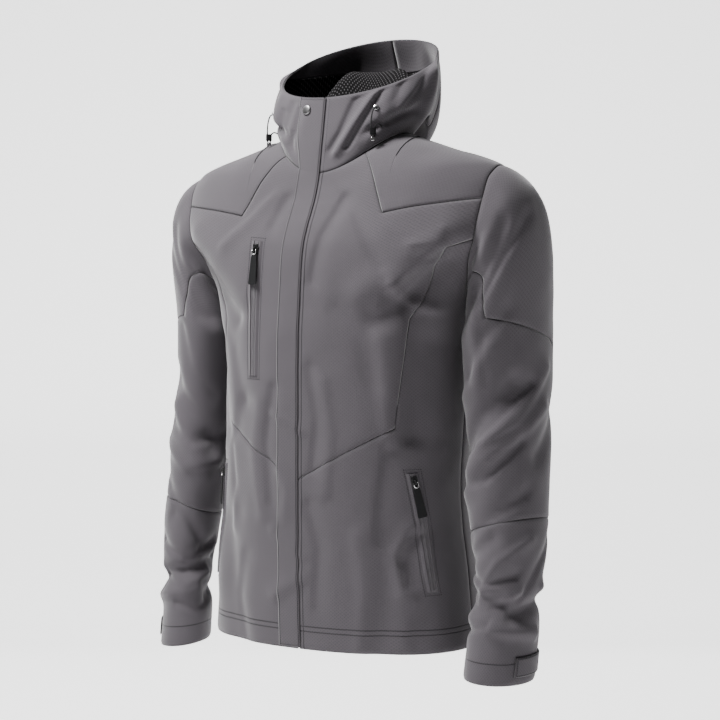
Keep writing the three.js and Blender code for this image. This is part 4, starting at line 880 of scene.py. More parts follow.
# Steps that more than one line has, or that a line is split by.
EDGE_STEPS, LOWER_STEPS, YOKE_FRONT_STEPS, YOKE_BACK_STEPS, RIDGE_STEPS, NECK_STEPS = 6, 76, 16, 40, 36, 20
ACROSS_EDGE, ACROSS, STRIP, PANEL = marks(EDGE_STEPS, 1), marks(26), marks(16), marks(24, 1, 1)
LOWER, SIDE_RUN, YOKE_RISE = marks(LOWER_STEPS, 1, 1), marks(44), marks(20, 1, 1)
YOKE_DOWN, SHOULDER = marks(YOKE_BACK_STEPS, 1), marks(RIDGE_STEPS, 1, 1)


def round_armhole(start, end):
    count = round(abs(end - start) / TURN_STEP)
    return on_armhole(mix(start, end, marks(count)))


def front_edge(levels):
    return np.stack([angle_at(np.full(len(levels), FRONT_EDGE), levels), levels], -1)


slope = (WAIST_CORNER[1] - WAIST_FRONT) / WAIST_CORNER[0]
waist_cross = (YOKE_CORNER[0], WAIST_FRONT + slope * YOKE_CORNER[0])
first_sixth = mix(np.array([FRONT_EDGE, WAIST_FRONT + 2]), np.array(waist_cross), 1 / 6)
waist_front = on_body(line([(FRONT_EDGE, WAIST_FRONT + 2), first_sixth, waist_cross], ACROSS_EDGE, ACROSS))
waist_side = on_body(line([waist_cross, WAIST_CORNER], STRIP))
side_at_waist = (SIDE, WAIST_CORNER[1])
panel_top_inner = on_body([PANEL_TOP_INNER])[0]
panel_top = line([panel_top_inner, on_armhole([PANEL_TOP])[0]], PANEL)
panel_line = on_body(line([WAIST_CORNER, *PANEL_LINE, PANEL_TOP_INNER],
                          marks(17, 1), marks(26), marks(17), marks(8, 0, 1)))
yoke_corner = on_body([YOKE_CORNER])[0]
neck_angle, back_neck_angle = float(angle_at(YOKE_NECK, 0)), float(angle_at(YOKE_NECK, 0, -1))
yoke_outer = straight(yoke_corner, on_armhole([YOKE_FRONT])[0], marks(YOKE_FRONT_STEPS, 1), marks(24, 0, 1))
yoke_inner = line([yoke_corner, (neck_angle, 0)], YOKE_RISE)
yoke_back = straight(on_armhole([YOKE_BACK])[0], (back_neck_angle, 0), YOKE_DOWN, marks(20, 0, 1))
neck_start = float(angle_at(FRONT_EDGE, 0))
neck_front = line([(neck_start, 0), (mix(neck_start, neck_angle, 1 / 6), 0), (neck_angle, 0)],
                  ACROSS_EDGE, marks(26, 0, 1))
neck_side = line([(neck_angle, 0), (back_neck_angle, 0)], SHOULDER)
neck_back = line([(back_neck_angle, 0), (180, 0), (360 - back_neck_angle, 0)],
                 marks(NECK_STEPS, 1), marks(NECK_STEPS, 0, 1))
side_seam = line([(SIDE, HEM), side_at_waist, (SIDE, UNDERARM)], LOWER, SIDE_RUN)

# %% Panels of the body
hem_at = [float(angle_at(x, HEM)) for x in (FRONT_EDGE, waist_cross[0], WAIST_CORNER[0])]
to_cross = line([(hem_at[1], HEM), waist_front[-1]], LOWER)
to_corner = line([(hem_at[2], HEM), waist_side[-1]], LOWER)
corner_row = line([waist_side[-1], side_at_waist], PANEL)
panel_side = joined(side_seam[LOWER_STEPS:], round_armhole(180, PANEL_TOP))
hem_row = straight((hem_at[0], HEM), (hem_at[1], HEM), ACROSS_EDGE, ACROSS)
lower_patches = [
    patch(hem_row, to_cross, waist_front, front_edge(mix(HEM, waist_front[0][1], LOWER))),
    patch(line([(hem_at[1], HEM), (hem_at[2], HEM)], STRIP), to_corner, waist_side, to_cross),
    patch(line([(hem_at[2], HEM), (SIDE, HEM)], PANEL), side_seam[:LOWER_STEPS + 1], corner_row, to_corner),
    patch(corner_row, panel_side, panel_top, panel_line),
]
armhole_side = round_armhole(PANEL_TOP, YOKE_FRONT)
chest_rows = (marks(68, 1, 1), marks(12, 1, 1))
inner_rise = straight(waist_front[-1], yoke_corner, *chest_rows)
chest_levels = straight((0, waist_front[0][1]), (0, YOKE_LEVEL), *chest_rows)[:, 1]
yoke_row = line([front_edge(np.array([YOKE_LEVEL]))[0], yoke_corner], np.concatenate(
    [ACROSS_EDGE / 6, (1 + 5 * ACROSS[1:]) / 6]))
up_to_yoke = line([panel_top_inner, yoke_outer[YOKE_FRONT_STEPS]], chest_rows[1])
chest_patches = [
    patch(waist_front, inner_rise, yoke_row, front_edge(chest_levels)),
    patch(yoke_row, yoke_inner, neck_front, front_edge(mix(YOKE_LEVEL, 0, YOKE_RISE))),
    patch(waist_side, joined(panel_line, up_to_yoke), yoke_outer[:YOKE_FRONT_STEPS + 1], inner_rise),
    patch(panel_top, armhole_side, yoke_outer[YOKE_FRONT_STEPS:], up_to_yoke),
]
armhole_top = round_armhole(YOKE_FRONT, YOKE_BACK - 360)
# The yoke's two patches meet on a line over the shoulder, whose x changes evenly from one end to the other.
ends = [yoke_corner, yoke_back[YOKE_BACK_STEPS]]
ridge_x = [body_point(*(np.array([value]) for value in pair), creased=False)[0, 0] for pair in ends]
ridge = line(ends, SHOULDER)
wanted_x = mix(*ridge_x, np.linspace(0, 1, RIDGE_STEPS + 1)[1:-1])
ridge[1:-1, 1] = halving(lambda level: body_point(ridge[1:-1, 0], level, creased=False)[:, 0] > wanted_x,
                         wanted_x, -115, 0, 30)
yoke_patches = [
    patch(armhole_top, yoke_back[:YOKE_BACK_STEPS + 1], ridge, yoke_outer[::-1]),
    patch(ridge, yoke_back[YOKE_BACK_STEPS:], neck_side, yoke_inner),
]
back_left = joined(side_seam, round_armhole(180, YOKE_BACK))
back_top = joined(yoke_back, neck_back, across_middle(yoke_back)[::-1])
back_hem = joined(
    straight((SIDE, HEM), (back_neck_angle, HEM), YOKE_DOWN, marks(20)),
    line([(back_neck_angle, HEM), (360 - back_neck_angle, HEM)], marks(40)),
    straight((360 - back_neck_angle, HEM), (360 - SIDE, HEM), marks(20), marks(40, 0, 1)),
)
back_patches = [patch(back_hem, across_middle(back_left), back_top, back_left)]
print("body seams:", len(waist_front), len(panel_line), "back grid:", back_patches[0].shape)

# %% [markdown]
# A sleeve has three panels: the cap over the shoulder, the middle with the underarm, and the forearm. The
# seams at the elbow and the cap are on the sleeve's own surface, so each arm is a full turn of pairs.

# %% Panels of a sleeve
CAP_SEAM = [(68, 0.85), (15, 0.93), (-40, 1.02), (-75, 0.97)]
UNDER_FRONT, ELBOW_OUTER, ELBOW_INNER = 140, -533, -560


def cap_along(z):
    return 1 + (CAP_END - z) / (CAP_END - CUFF)


def armhole_turns(start, end):
    turns = mix(start, end, marks(round((end - start) / TURN_STEP)))
    return np.stack([turns, 0 * turns], -1)


CAP_RUN, GUSSET, MID_RUN = marks(44, 1, 1), marks(14), marks(64, 0, 1)
cap_row = line(CAP_SEAM, marks(30), marks(30), marks(24))[::-1]
front_corner, back_corner = cap_row[-1], cap_row[0] + (360, 0)
front_down = line([(UNDER_FRONT, 0), front_corner], CAP_RUN)
back_down = line([(360 - UNDER_FRONT, 0), back_corner], CAP_RUN)
cap_patches = [patch(armhole_turns(-UNDER_FRONT, UNDER_FRONT), front_down, cap_row, back_down - (360, 0))]
under = [line([(turn, 0), (turn, 1)], CAP_RUN) for turn in (UNDER_FRONT, 360 - UNDER_FRONT)]
under_turns = armhole_turns(UNDER_FRONT, 360 - UNDER_FRONT)
low_rows = [
    line([front_corner, (UNDER_FRONT, 1)], GUSSET),
    under_turns + (0, 1),
    line([(360 - UNDER_FRONT, 1), back_corner], GUSSET),
]
whole = joined(cap_row, *low_rows)
elbow = np.stack([whole[:, 0], cap_along(mix(
    ELBOW_OUTER, ELBOW_INNER, (1 - np.cos(np.radians(whole[:, 0]))) / 2))], -1)
cuff = np.stack([whole[:, 0], np.full(len(whole), 2.0)], -1)


def rows_down(top, foot, run):
    return patch(top, line([top[-1], foot[-1]], run), foot, line([top[0], foot[0]], run))


mid_patches = [
    patch(np.repeat(under_turns[:1], len(GUSSET), 0), under[0], low_rows[0], front_down),
    patch(under_turns, under[1], low_rows[1], under[0]),
    patch(np.repeat(under_turns[-1:], len(GUSSET), 0), back_down, low_rows[2], under[1]),
    rows_down(whole, elbow, MID_RUN),
]
forearm_patches = [rows_down(elbow, cuff, marks(60, 1, 1))]

# %% [markdown]
# The hood and its collar are one surface, cut into two sides and a middle panel. Behind its edge lies a
# facing of the same cloth, and below that the mesh lining. The flap and the hidden zip run up the whole
# front.

# %% Panels of the hood and the front closing
LINING_FROM, FACING_FROM = 8, 8 + 84  # steps up the hood where the lining and the facing begin
HOOD_RUNS = (marks(LINING_FROM, 1), marks(FACING_FROM - LINING_FROM), marks(14, 0, 1))


def hood_edge(along):
    angle = halving(lambda a: hood_point(a, along)[:, 0] < FRONT_EDGE, along, 0, 20, 28)
    return np.stack([angle, along], -1)


hood_heights = line([(0, 0), (0, 1 / 16), (0, 14 / 16), (0, 1)], *HOOD_RUNS)[:, 1]
rim_start = hood_edge(np.array([1.0]))[0, 0]
rim_row = joined(
    line([(rim_start, 1), (mix(rim_start, neck_angle, 1 / 6), 1), (neck_angle, 1)], ACROSS_EDGE,
         marks(26, 0, 1)),
    line([(neck_angle, 1), (back_neck_angle, 1)], SHOULDER),
)
hood_back_rise = np.stack([np.full(len(hood_heights), back_neck_angle), hood_heights], -1)
hood_side = patch(joined(neck_front, neck_side), hood_back_rise, rim_row, hood_edge(hood_heights))
hood_middle = patch(neck_back, across_middle(hood_back_rise), neck_back + (0, 1), hood_back_rise)
side_facing = hood_side[FACING_FROM:, EDGE_STEPS:]
half_facing = hood_middle[FACING_FROM:, :NECK_STEPS + 1]
side_lining = hood_side[LINING_FROM:FACING_FROM + 1, EDGE_STEPS:]
other_lining = np.stack([360 - side_lining[..., 0], side_lining[..., 1]], -1)[:, ::-1]
lining_patches = [side_lining, hood_middle[LINING_FROM:FACING_FROM + 1], other_lining]

# Along is 0 to 1 from the hem to the neck seam, and 1 to 2 up the collar.
FLAP_SEAM, FLAP_EDGE, FLAP_TOP, FLAP_FOOT, FLAP_HEAD = -32, 3.4, -43, 0.003, 1.985
ZIP_HALF, ZIP_FOOT, ZIP_HEAD = 3, 0.004, 1.97
FRONT_STEPS = 230


def up_the_front(x, top, foot, head):
    along = mix(foot, head, marks(FRONT_STEPS, 1, 1))
    return np.stack([mix(x, top, ease(along, 0.93, 1.6)), along], -1)


def strip_between(first, second, run):
    bottom, top = (line([first[i], second[i]], run) for i in (0, -1))
    return patch(bottom, second, top, first)


flap_patches = [strip_between(up_the_front(FLAP_SEAM, FLAP_TOP, FLAP_FOOT, FLAP_HEAD),
                              up_the_front(FLAP_EDGE, FLAP_EDGE, FLAP_FOOT, FLAP_HEAD), marks(14, 1, 1))]
zip_patches = [strip_between(up_the_front(-ZIP_HALF, -ZIP_HALF, ZIP_FOOT, ZIP_HEAD),
                             up_the_front(ZIP_HALF, ZIP_HALF, ZIP_FOOT, ZIP_HEAD), marks(4))]
TAB_TOP, TAB_FOOT, TAB_STEPS = -716, -742, 48
tab_turns = np.concatenate([low_rows[2][:, 0] - 360, cap_row[1:TAB_STEPS + 1, 0]])
tab_rows = [np.stack([tab_turns, np.full(len(tab_turns), cap_along(z))], -1) for z in (TAB_TOP, TAB_FOOT)]
tab_patches = [rows_down(*tab_rows, marks(12, 1, 1))]
print("hood grid:", hood_side.shape, "flap grid:", flap_patches[0].shape)

# %% [markdown]
# A wall of cloth starts as its outer face. At its border the face sinks a little towards the lining, so that
# a seam shows as a soft groove, and slow ripples take the machine-made evenness off it. The inner face
# follows the plain surface 1.8 mm behind. A rim closes the wall, so that no edge is a paper-thin line. The
# distance to the border is kept on the mesh, because the finish paints shade into the seam with it.

# %% Faces and normals of a wall
CLOTH, OVER, LIFT = 1.8, 1.0, 0.4  # thickness, how far what is sewn on stands off, space between two cloths
OFF_TIES = 0.217  # keeps round numbers away from the halves, where rounding could go either way
rng = np.random.default_rng(11)
RIPPLES = [(unit(rng.normal(size=3)) * 2 * np.pi / span, rng.uniform(0, 6.3), height)
           for span, height in zip((26, 34, 43, 55, 71, 90, 120), (0.05, 0.07, 0.09, 0.12, 0.16, 0.2, 0.24))]


def ripple(points):
    return sum(height * np.sin(points @ way + phase) for way, phase, height in RIPPLES)


def wall_faces(patches):
    pairs, quads, count = [], [], 0
    for flat in patches:
        rows, columns = flat.shape[:2]
        index = count + np.arange(rows * columns).reshape(rows, columns)
        corners = (index[:-1, :-1], index[:-1, 1:], index[1:, 1:], index[1:, :-1])
        quads.append(np.stack(corners, -1).reshape(-1, 4))
        pairs.append(flat.reshape(-1, 2))
        count += rows * columns
    pairs, quads = np.concatenate(pairs), np.concatenate(quads)
    keys = np.round(pairs * (2e3, 2e4) + OFF_TIES).astype(np.int64)  # points that two patches share
    _, first, same = np.unique(keys, axis=0, return_index=True, return_inverse=True)
    return pairs[first], same.reshape(-1)[quads]


def corner_normals(points, quads):
    normals = np.zeros_like(points)
    facing = np.cross(points[quads[:, 2]] - points[quads[:, 0]], points[quads[:, 3]] - points[quads[:, 1]])
    for corner in range(4):
        np.add.at(normals, quads[:, corner], facing)
    return normals


def border_edges(quads):
    edges = np.concatenate([quads[:, [k, (k + 1) % 4]] for k in range(4)])
    edges = edges[edges[:, 0] != edges[:, 1]]
    _, first, uses = np.unique(np.sort(edges, axis=1), axis=0, return_index=True, return_counts=True)
    return edges[first[uses == 1]]


def on_surface(surface, pairs, side=1):
    if surface is sleeve_point:
        return sleeve_point(pairs[:, 0], pairs[:, 1], side)
    return surface(side * pairs[:, 0], pairs[:, 1])


def plan_wall(name, patches, surface, side=1):
    pairs, quads = wall_faces(patches)
    points = on_surface(surface, pairs, side)
    if side < 0:
        quads = quads[:, ::-1]
    return {"name": name, "pairs": pairs, "quads": quads, "points": points,
            "normals": corner_normals(points, quads)}


def share_normals(walls):
    points = np.concatenate([wall["points"] for wall in walls])
    normals = np.concatenate([wall["normals"] for wall in walls])
    keys = np.round(points * 20 + OFF_TIES).astype(np.int64)  # points that two panels share
    _, same = np.unique(keys, axis=0, return_inverse=True)
    same = same.reshape(-1)
    total = np.zeros((same.max() + 1, 3))
    np.add.at(total, same, normals)
    ends = np.cumsum([0, *(len(wall["points"]) for wall in walls)])
    for wall, start, end in zip(walls, ends, ends[1:]):
        wall["normals"] = total[same[start:end]]

# %% [markdown]
# The UV map of a wall is its flat cut, more or less: on the body the distance round it and the height above
# the hem, on a sleeve the distance round the arm and the height above the cuff. On the yoke, which turns over
# the shoulder, levels lie close together, so they are drawn out.

# %% Build a wall
YOKE_REACH = 150  # millimetres from the jacket's axis at which the yoke's turns are measured


def body_uv(pairs):
    reach = np.where(np.cos(np.radians(pairs[:, 0])) > 0, front_of(pairs[:, 1]), back_of(pairs[:, 1]))
    return np.stack([np.radians(pairs[:, 0]) * reach, pairs[:, 1] - HEM], -1)


def yoke_uv(pairs):
    return np.stack([np.radians(pairs[:, 0]) * YOKE_REACH, pairs[:, 1] * 2], -1)


def sleeve_uv(pairs):
    turn, along = pairs.T
    above = np.where(along > 1, (2 - along) * (CAP_END - CUFF), CAP_END - CUFF + (1 - along) * CAP_MM)
    return np.stack([turn * TURN_MM, above], -1)


def hood_uv(pairs):
    tall = hood_tall(np.abs((pairs[:, 0] + 180) % 360 - 180))
    return np.stack([pairs[:, 0] * HOOD_MM, pairs[:, 1] * tall], -1)


def front_uv(pairs):
    x, along = pairs.T
    above = mix(0, -HEM, np.minimum(along, 1)) + HOOD_FRONT_TALL * np.maximum(along - 1, 0)
    return np.stack([x, above], -1)


sheet_areas = {}


def build_wall(wall, finishes, flat, low=-CLOTH, high=0.0, sink=1.1, hollow=2.2):
    points, quads, normals = wall["points"], wall["quads"], unit(wall["normals"])
    border = border_edges(quads)
    tree = KDTree(len(border))
    for i, corner in enumerate(np.unique(border)):
        tree.insert(points[corner], i)
    tree.balance()
    edge = np.array([tree.find(point)[2] for point in points])
    height = high + ripple(points) - sink * np.exp(-((edge / hollow) ** 2))
    outer, inner = points + normals * height[:, None], points + normals * low
    count = len(points)
    rims = np.stack([border[:, 1], border[:, 0], border[:, 0] + count, border[:, 1] + count], 1)
    faces = np.concatenate([quads, quads[:, ::-1] + count, rims]).tolist()
    faces = [list(dict.fromkeys(face)) for face in faces]  # a corner that is there twice makes a triangle
    kinds = np.repeat([0, 1, 0], [len(quads), len(quads), len(rims)])
    uv = flat(wall["pairs"]) * MM
    piece = new_mesh(wall["name"], np.concatenate([outer, inner]), faces, finishes, np.concatenate([uv, uv]),
                     kinds, np.concatenate([edge, edge]))
    a, b, c, d = (outer[quads[:, k]] * MM for k in range(4))
    area = float(np.linalg.norm(np.cross(c - a, d - b), axis=1).sum() / 2)
    sheet_areas[wall["name"]] = round(area, 4)
    return piece

# %% Panels with shared seams
SIDES = {"left": 1, "right": -1}
plans = []
for word, side in SIDES.items():
    plans += [
        plan_wall(f"front_lower_panel_{word}", lower_patches, body_point, side),
        plan_wall(f"front_chest_panel_{word}", chest_patches, body_point, side),
        plan_wall(f"shoulder_yoke_{word}", yoke_patches, body_point, side),
        plan_wall(f"sleeve_cap_panel_{word}", cap_patches, sleeve_point, side),
        plan_wall(f"sleeve_mid_panel_{word}", mid_patches, sleeve_point, side),
        plan_wall(f"sleeve_forearm_panel_{word}", forearm_patches, sleeve_point, side),
        plan_wall(f"hood_side_panel_{word}", [hood_side], hood_point, side),
    ]
plans += [
    plan_wall("back_panel", back_patches, body_point),
    plan_wall("hood_middle_panel", [hood_middle], hood_point),
]
share_normals(plans)
PANEL_LOOKS = {
    # start of the panel's name: finish, flat cut, node
    "front_lower": (body_finish, body_uv, "front_lower"),
    "front_chest": (chest_finish, body_uv, "front_chest"),
    "shoulder_yoke": (shell_finish, yoke_uv, "yoke"),
    "sleeve_cap": (shell_finish, sleeve_uv, "sleeve_cap"),
    "sleeve_mid": (shell_finish, sleeve_uv, "sleeve_mid"),
    "sleeve_forearm": (cuff_finish, sleeve_uv, "sleeve_forearm"),
    "back_panel": (body_finish, body_uv, "back"),
    "hood_side": (rim_finish, hood_uv, "hood_side"),
    "hood_middle": (rim_finish, hood_uv, "hood_middle"),
}
shell_pieces = {}
for wall in plans:
    finish, flat, node = next(look for key, look in PANEL_LOOKS.items() if wall["name"].startswith(key))
    word = wall["name"].rsplit("_", 1)[-1]
    node = f"{node}_{word}" if word in SIDES else node
    piece = build_wall(wall, [finish, backing_finish], flat)
    shell_pieces[node] = fit(piece, node, slot="softshell")
print("panels:", len(shell_pieces))

# %% [markdown]
# What lies on a panel, or behind one, is drawn on the same surface and moved out or in. So the flap, the cuff
# tabs, the facing and the lining follow every fold below them.

# %% Flap, tabs, facing and lining
FLAP_HIGH, TAB_HIGH = 1.45, OVER + 1.6
BEHIND = -CLOTH - LIFT
extra_walls = [
    # name, patches, surface, side, finish, flat cut, low and high face, how far the border sinks, node, slot
    ("storm_flap", flap_patches, front_point, 1, flap_finish, front_uv,
     0.15, FLAP_HIGH, 0.5, "front_flap", "softshell"),
    ("hidden_zip_tape", zip_patches, front_point, 1, tape_finish, front_uv,
     -2.2 - CLOTH, -0.4 - CLOTH, 0.2, "front_zip", "zip"),
    ("mesh_lining_panel", lining_patches, hood_point, 1, lining_finish, hood_uv,
     BEHIND - 2 * LIFT - 1, BEHIND - 2 * LIFT, 0.2, "hood_lining", "lining"),
]
for word, side in SIDES.items():
    extra_walls += [
        (f"cuff_strap_{word}", tab_patches, sleeve_point, side, tab_finish, sleeve_uv,
         OVER, TAB_HIGH, 0.7, f"cuff_tab_{word}", "softshell"),
        (f"edge_facing_{word}", [side_facing, half_facing], hood_point, side, shell_finish, hood_uv,
         BEHIND - 1.4, BEHIND, 0.3, f"hood_facing_{word}", "softshell"),
    ]
for name, patches, surface, side, finish, flat, low, high, sink, node, slot in extra_walls:
    wall = plan_wall(name, patches, surface, side)
    piece = build_wall(wall, [finish, finish], flat, low, high, sink, hollow=1.6)
    shell_pieces[node] = fit(piece, node, slot=slot)
print("sheet areas:", sheet_areas)

# %% [markdown]
# Each sheet of cloth has its cut listed with its size in metres, width by length, and with the flat area
# of a cut that is no rectangle, and with what holds it: a panel hangs from the one that it is sewn to, and a
# facing, flap or tab lies on what it is stitched to. The hidden tape of the front zip is part of the zip, not
# a sheet. The loop below only counts the pieces that have a cut in the list.

CUTS = {
    # node: width, length, area, held, what it hangs from or lies on
    "yoke": (0.225, 0.215, 0.0364, "hung", ()),
    "front_chest": (0.172, 0.488, 0.068, "hung", ("yoke",)),
    "front_lower": (0.230, 0.572, 0.103, "hung", ("front_chest",)),
    "sleeve_cap": (0.296, 0.2, 0.048, "hung", ("yoke",)),
    "sleeve_mid": (0.38, 0.462, 0.115, "hung", ("sleeve_cap",)),
    "sleeve_forearm": (0.38, 0.22, 0.0617, "hung", ("sleeve_mid",)),
    "hood_side": (0.224, 0.228, 0.0268, "hung", ("yoke",)),
    "cuff_tab": (0.152, 0.027, 0.0033, "stretched", ("sleeve_forearm",)),
    "hood_facing": (0.03, 0.33, 0.009, "stretched", ("hood_side",)),
    "back": (0.542, 0.725, 0.349, "hung", ("yoke_left", "yoke_right")),
    "hood_middle": (0.2, 0.42, 0.0808, "hung", ("hood_side_left", "hood_side_right")),
    "front_flap": (0.045, 0.83, 0.0295, "stretched", ("front_chest_right", "front_lower_right")),
    "hood_lining": (0.6, 0.3, 0.105, "hung", ("hood_middle",)),
}
declared = 0
for node, piece in shell_pieces.items():
    word = node.rsplit("_", 1)[-1]
    stem = node[: -len(word) - 1] if word in SIDES else node
    if stem in CUTS:
        declared += 1
print("sheets declared:", declared)

# %% [markdown]
# Sewing is a row of short threads. On the jacket a machine lays them at one pitch along a line that follows
# the cloth. Geometry Nodes do the same: a path becomes a curve, it is cut at even steps, and a small bead is
# set on each step, turned along the path and upright on the cloth. The zip coils are the same row with a wide
# bead.

# %% A row along a path
def row_tree():
    tree = bpy.data.node_groups.new("row_along_path", "GeometryNodeTree")
    for name, kind in (("Geometry", "NodeSocketGeometry"), ("Pitch", "NodeSocketFloat"),
                       ("Size", "NodeSocketVector"), ("Finish", "NodeSocketMaterial")):
        tree.interface.new_socket(name, in_out="INPUT", socket_type=kind)
    tree.interface.new_socket("Geometry", in_out="OUTPUT", socket_type="NodeSocketGeometry")
    given = tree.nodes.new("NodeGroupInput").outputs
    curve = add_node(tree, "GeometryNodeMeshToCurve", given["Geometry"]).outputs[0]
    steps = tree.nodes.new("GeometryNodeResampleCurve")
    steps.mode = "LENGTH"
    tree.links.new(curve, steps.inputs["Curve"])
    tree.links.new(given["Pitch"], steps.inputs["Length"])
    bead = add_node(tree, "GeometryNodeMeshUVSphere", 6, 4, 0.5).outputs[0]
    upright = add_node(tree, "GeometryNodeInputNamedAttribute", "up", data_type="FLOAT_VECTOR").outputs[0]
    tangent = tree.nodes.new("GeometryNodeInputTangent").outputs[0]
    along = add_node(tree, "FunctionNodeAlignRotationToVector", None, None, tangent, axis="X").outputs[0]
    turned = add_node(tree, "FunctionNodeAlignRotationToVector", along, None, upright, axis="Z",
                      pivot_axis="X").outputs[0]
    placed = tree.nodes.new("GeometryNodeInstanceOnPoints")
    for socket, source in (("Points", steps.outputs[0]), ("Instance", bead), ("Rotation", turned),
                           ("Scale", given["Size"])):
        tree.links.new(source, placed.inputs[socket])
    whole = add_node(tree, "GeometryNodeRealizeInstances", placed.outputs[0]).outputs[0]
    finished = tree.nodes.new("GeometryNodeSetMaterial")
    tree.links.new(whole, finished.inputs["Geometry"])
    tree.links.new(given["Finish"], finished.inputs["Material"])
    add_node(tree, "NodeGroupOutput", finished.outputs[0])
    return tree


ROWS = row_tree()


def laid_row(name, paths, pitch, size, finish, slot):
    points = np.concatenate([points for points, _ in paths])
    mesh = bpy.data.meshes.new(name)
    ends = np.cumsum([0, *(len(points) for points, _ in paths)])
    links = [(i, i + 1) for start, end in zip(ends, ends[1:]) for i in range(start, end - 1)]
    mesh.from_pydata((points * MM).tolist(), links, [])
    upright = mesh.attributes.new("up", "FLOAT_VECTOR", "POINT")
    upright.data.foreach_set("vector", np.concatenate([ups for _, ups in paths]).astype(np.float32).ravel())
    path = new_object(name + "_path", mesh)
    modifier = path.modifiers.new("row", "NODES")
    modifier.node_group = ROWS
    sockets = {item.name: item.identifier for item in ROWS.interface.items_tree if item.in_out == "INPUT"}
    modifier[sockets["Pitch"]] = pitch * MM
    modifier[sockets["Size"]] = [value * MM for value in size]
    modifier[sockets["Finish"]] = finish
    solid = bpy.data.meshes.new_from_object(path.evaluated_get(bpy.context.evaluated_depsgraph_get()))
    solid.name = name
    bpy.data.objects.remove(path)
    shade_smooth(solid)
    print(name, "faces:", len(solid.polygons))
    return fit(new_object(name, solid), slot=slot)

# %% Places on the cloth
def on_cloth(surface, pairs, side=1, lift=0.0):
    pairs = np.asarray(pairs, float)
    points = on_surface(surface, pairs, side)
    across, rising = (on_surface(surface, pairs + step, side) - points
                      for step in ((0.3, 0.0), (0.0, 0.6 if surface is body_point else 0.002)))
    normals = unit(np.cross(across, rising))
    centre = points * (0, 0, 1)
    if surface is sleeve_point:
        centre[:, 0], centre[:, 1] = side * arm_x(points[:, 2]), arm_y(points[:, 2])
    normals *= np.where((normals * (points - centre)).sum(1, keepdims=True) < 0, -1, 1)
    return points + normals * (lift + ripple(points))[:, None], normals


def stitches(name, paths):
    laid_row(name, paths, THREAD_PITCH, THREAD, thread_finish, "softshell")


THREAD, THREAD_PITCH, THREAD_SUNK = (2.2, 1.1, 0.6), 3.0, -0.15
edge_angle = float(angle_at(FRONT_EDGE + 0.6, HEM))
hem_turns = np.linspace(edge_angle, 360 - edge_angle, 260)
stitches("hem_stitches", [
    on_cloth(body_point, np.stack([hem_turns, 0 * hem_turns + HEM + above], -1), lift=THREAD_SUNK)
    for above in HEM_ROWS
])
flap_rows = [on_cloth(front_point, up_the_front(x, top, 0.006, 1.975), lift=FLAP_HIGH) for x, top in (
    (FLAP_SEAM + FLAP_INSET, FLAP_TOP + FLAP_INSET), (FLAP_EDGE - FLAP_INSET, FLAP_EDGE - FLAP_INSET))]
flap_rows.append(on_cloth(front_point, up_the_front(FRONT_ROW, FRONT_ROW, 0.004, 1.96), lift=THREAD_SUNK))
stitches("front_stitches", flap_rows)
cuff_turns = np.linspace(0, 360, 160)
cuff_pairs = np.stack([cuff_turns, np.full_like(cuff_turns, cap_along(CUFF + CUFF_ROW))], -1)
inner_tab = tab_patches[0][2:-2, 2:-2]
tab_border = joined(inner_tab[0], inner_tab[:, -1], inner_tab[-1, ::-1], inner_tab[::-1, 0])
for word, side in SIDES.items():
    stitches(f"cuff_stitches_{word}", [
        on_cloth(sleeve_point, cuff_pairs, side, THREAD_SUNK),
        on_cloth(sleeve_point, tab_border, side, TAB_HIGH),
    ])

# %% [markdown]
# A pocket zip lies between two lips of the shell's cloth. Its tape is woven, with ribs along it and the coil
# in its middle. Tape and lips are one section each, carried along the zip's line on the body, so they bend
# with the panel under them. A row of stitches frames each pocket.

# %% Pocket zips
POCKETS = {
    # node: side, top and foot in x and z, as on the solids
    "chest_zip": (-1, (75, -154), (76, -343)),
    "hand_zip_left": (1, (153, -474), (179, -638)),
    "hand_zip_right": (-1, (153, -474), (179, -638)),
}
# Sections: millimetres beside the zip's line and above the cloth.
TAPE_SECTION = [
    (-6.3, 0.3), (-6.3, 1.0), (-3.0, 1.1), (-2.6, 1.5), (2.6, 1.5), (3.0, 1.1), (6.3, 1.0), (6.3, 0.3),
]
LIP_SECTION = [
    (4.9, 1.2), (5.0, 1.9), (5.5, 2.2), (6.6, 1.9), (8.4, 0.7), (9.6, 0.0), (9.6, -0.8), (6.0, 0.6),
]
# The lips are marked far from any seam, so that the finish paints no seam shade on them.
AWAY_FROM_SEAM = 12.0  # so that the finish doesn't darken the lips as a seam
FRAME_HALF, FRAME_END = 12.6, 5  # stitched frame: beside the zip's line, and past its ends
COIL, COIL_PITCH = (1.1, 4.6, 0.9), 1.5


def beside(path, by):
    before, after = (body_point(path[:, 0] + turn, path[:, 1]) for turn in (-0.5, 0.5))
    degree = np.linalg.norm(after - before, axis=1)
    return path + np.stack([by / degree, 0 * degree], -1)


def lofted(name, path, section, side, finish):
    columns = [on_cloth(body_point, beside(path, by), side, height)[0] for by, height in section]
    rows, count = np.stack(columns, 1), len(section)
    run = run_of(rows[:, 0])
    index = np.arange(len(path) * count).reshape(len(path), count)
    after = np.roll(index, -1, axis=1)
    quads = np.stack([index[:-1], after[:-1], after[1:], index[1:]], -1).reshape(-1, 4).tolist()
    ends = [index[0][::-1].tolist(), index[-1].tolist()]
    uv = np.stack([np.tile([by for by, _ in section], len(path)), np.repeat(run, count)], -1) * MM
    piece = new_mesh(name, rows.reshape(-1, 3), quads + ends, [finish], uv,
                     edge=np.full(index.size, AWAY_FROM_SEAM))
    face_outwards(piece)
    piece.data.set_sharp_from_angle(angle=math.radians(40))
    return piece


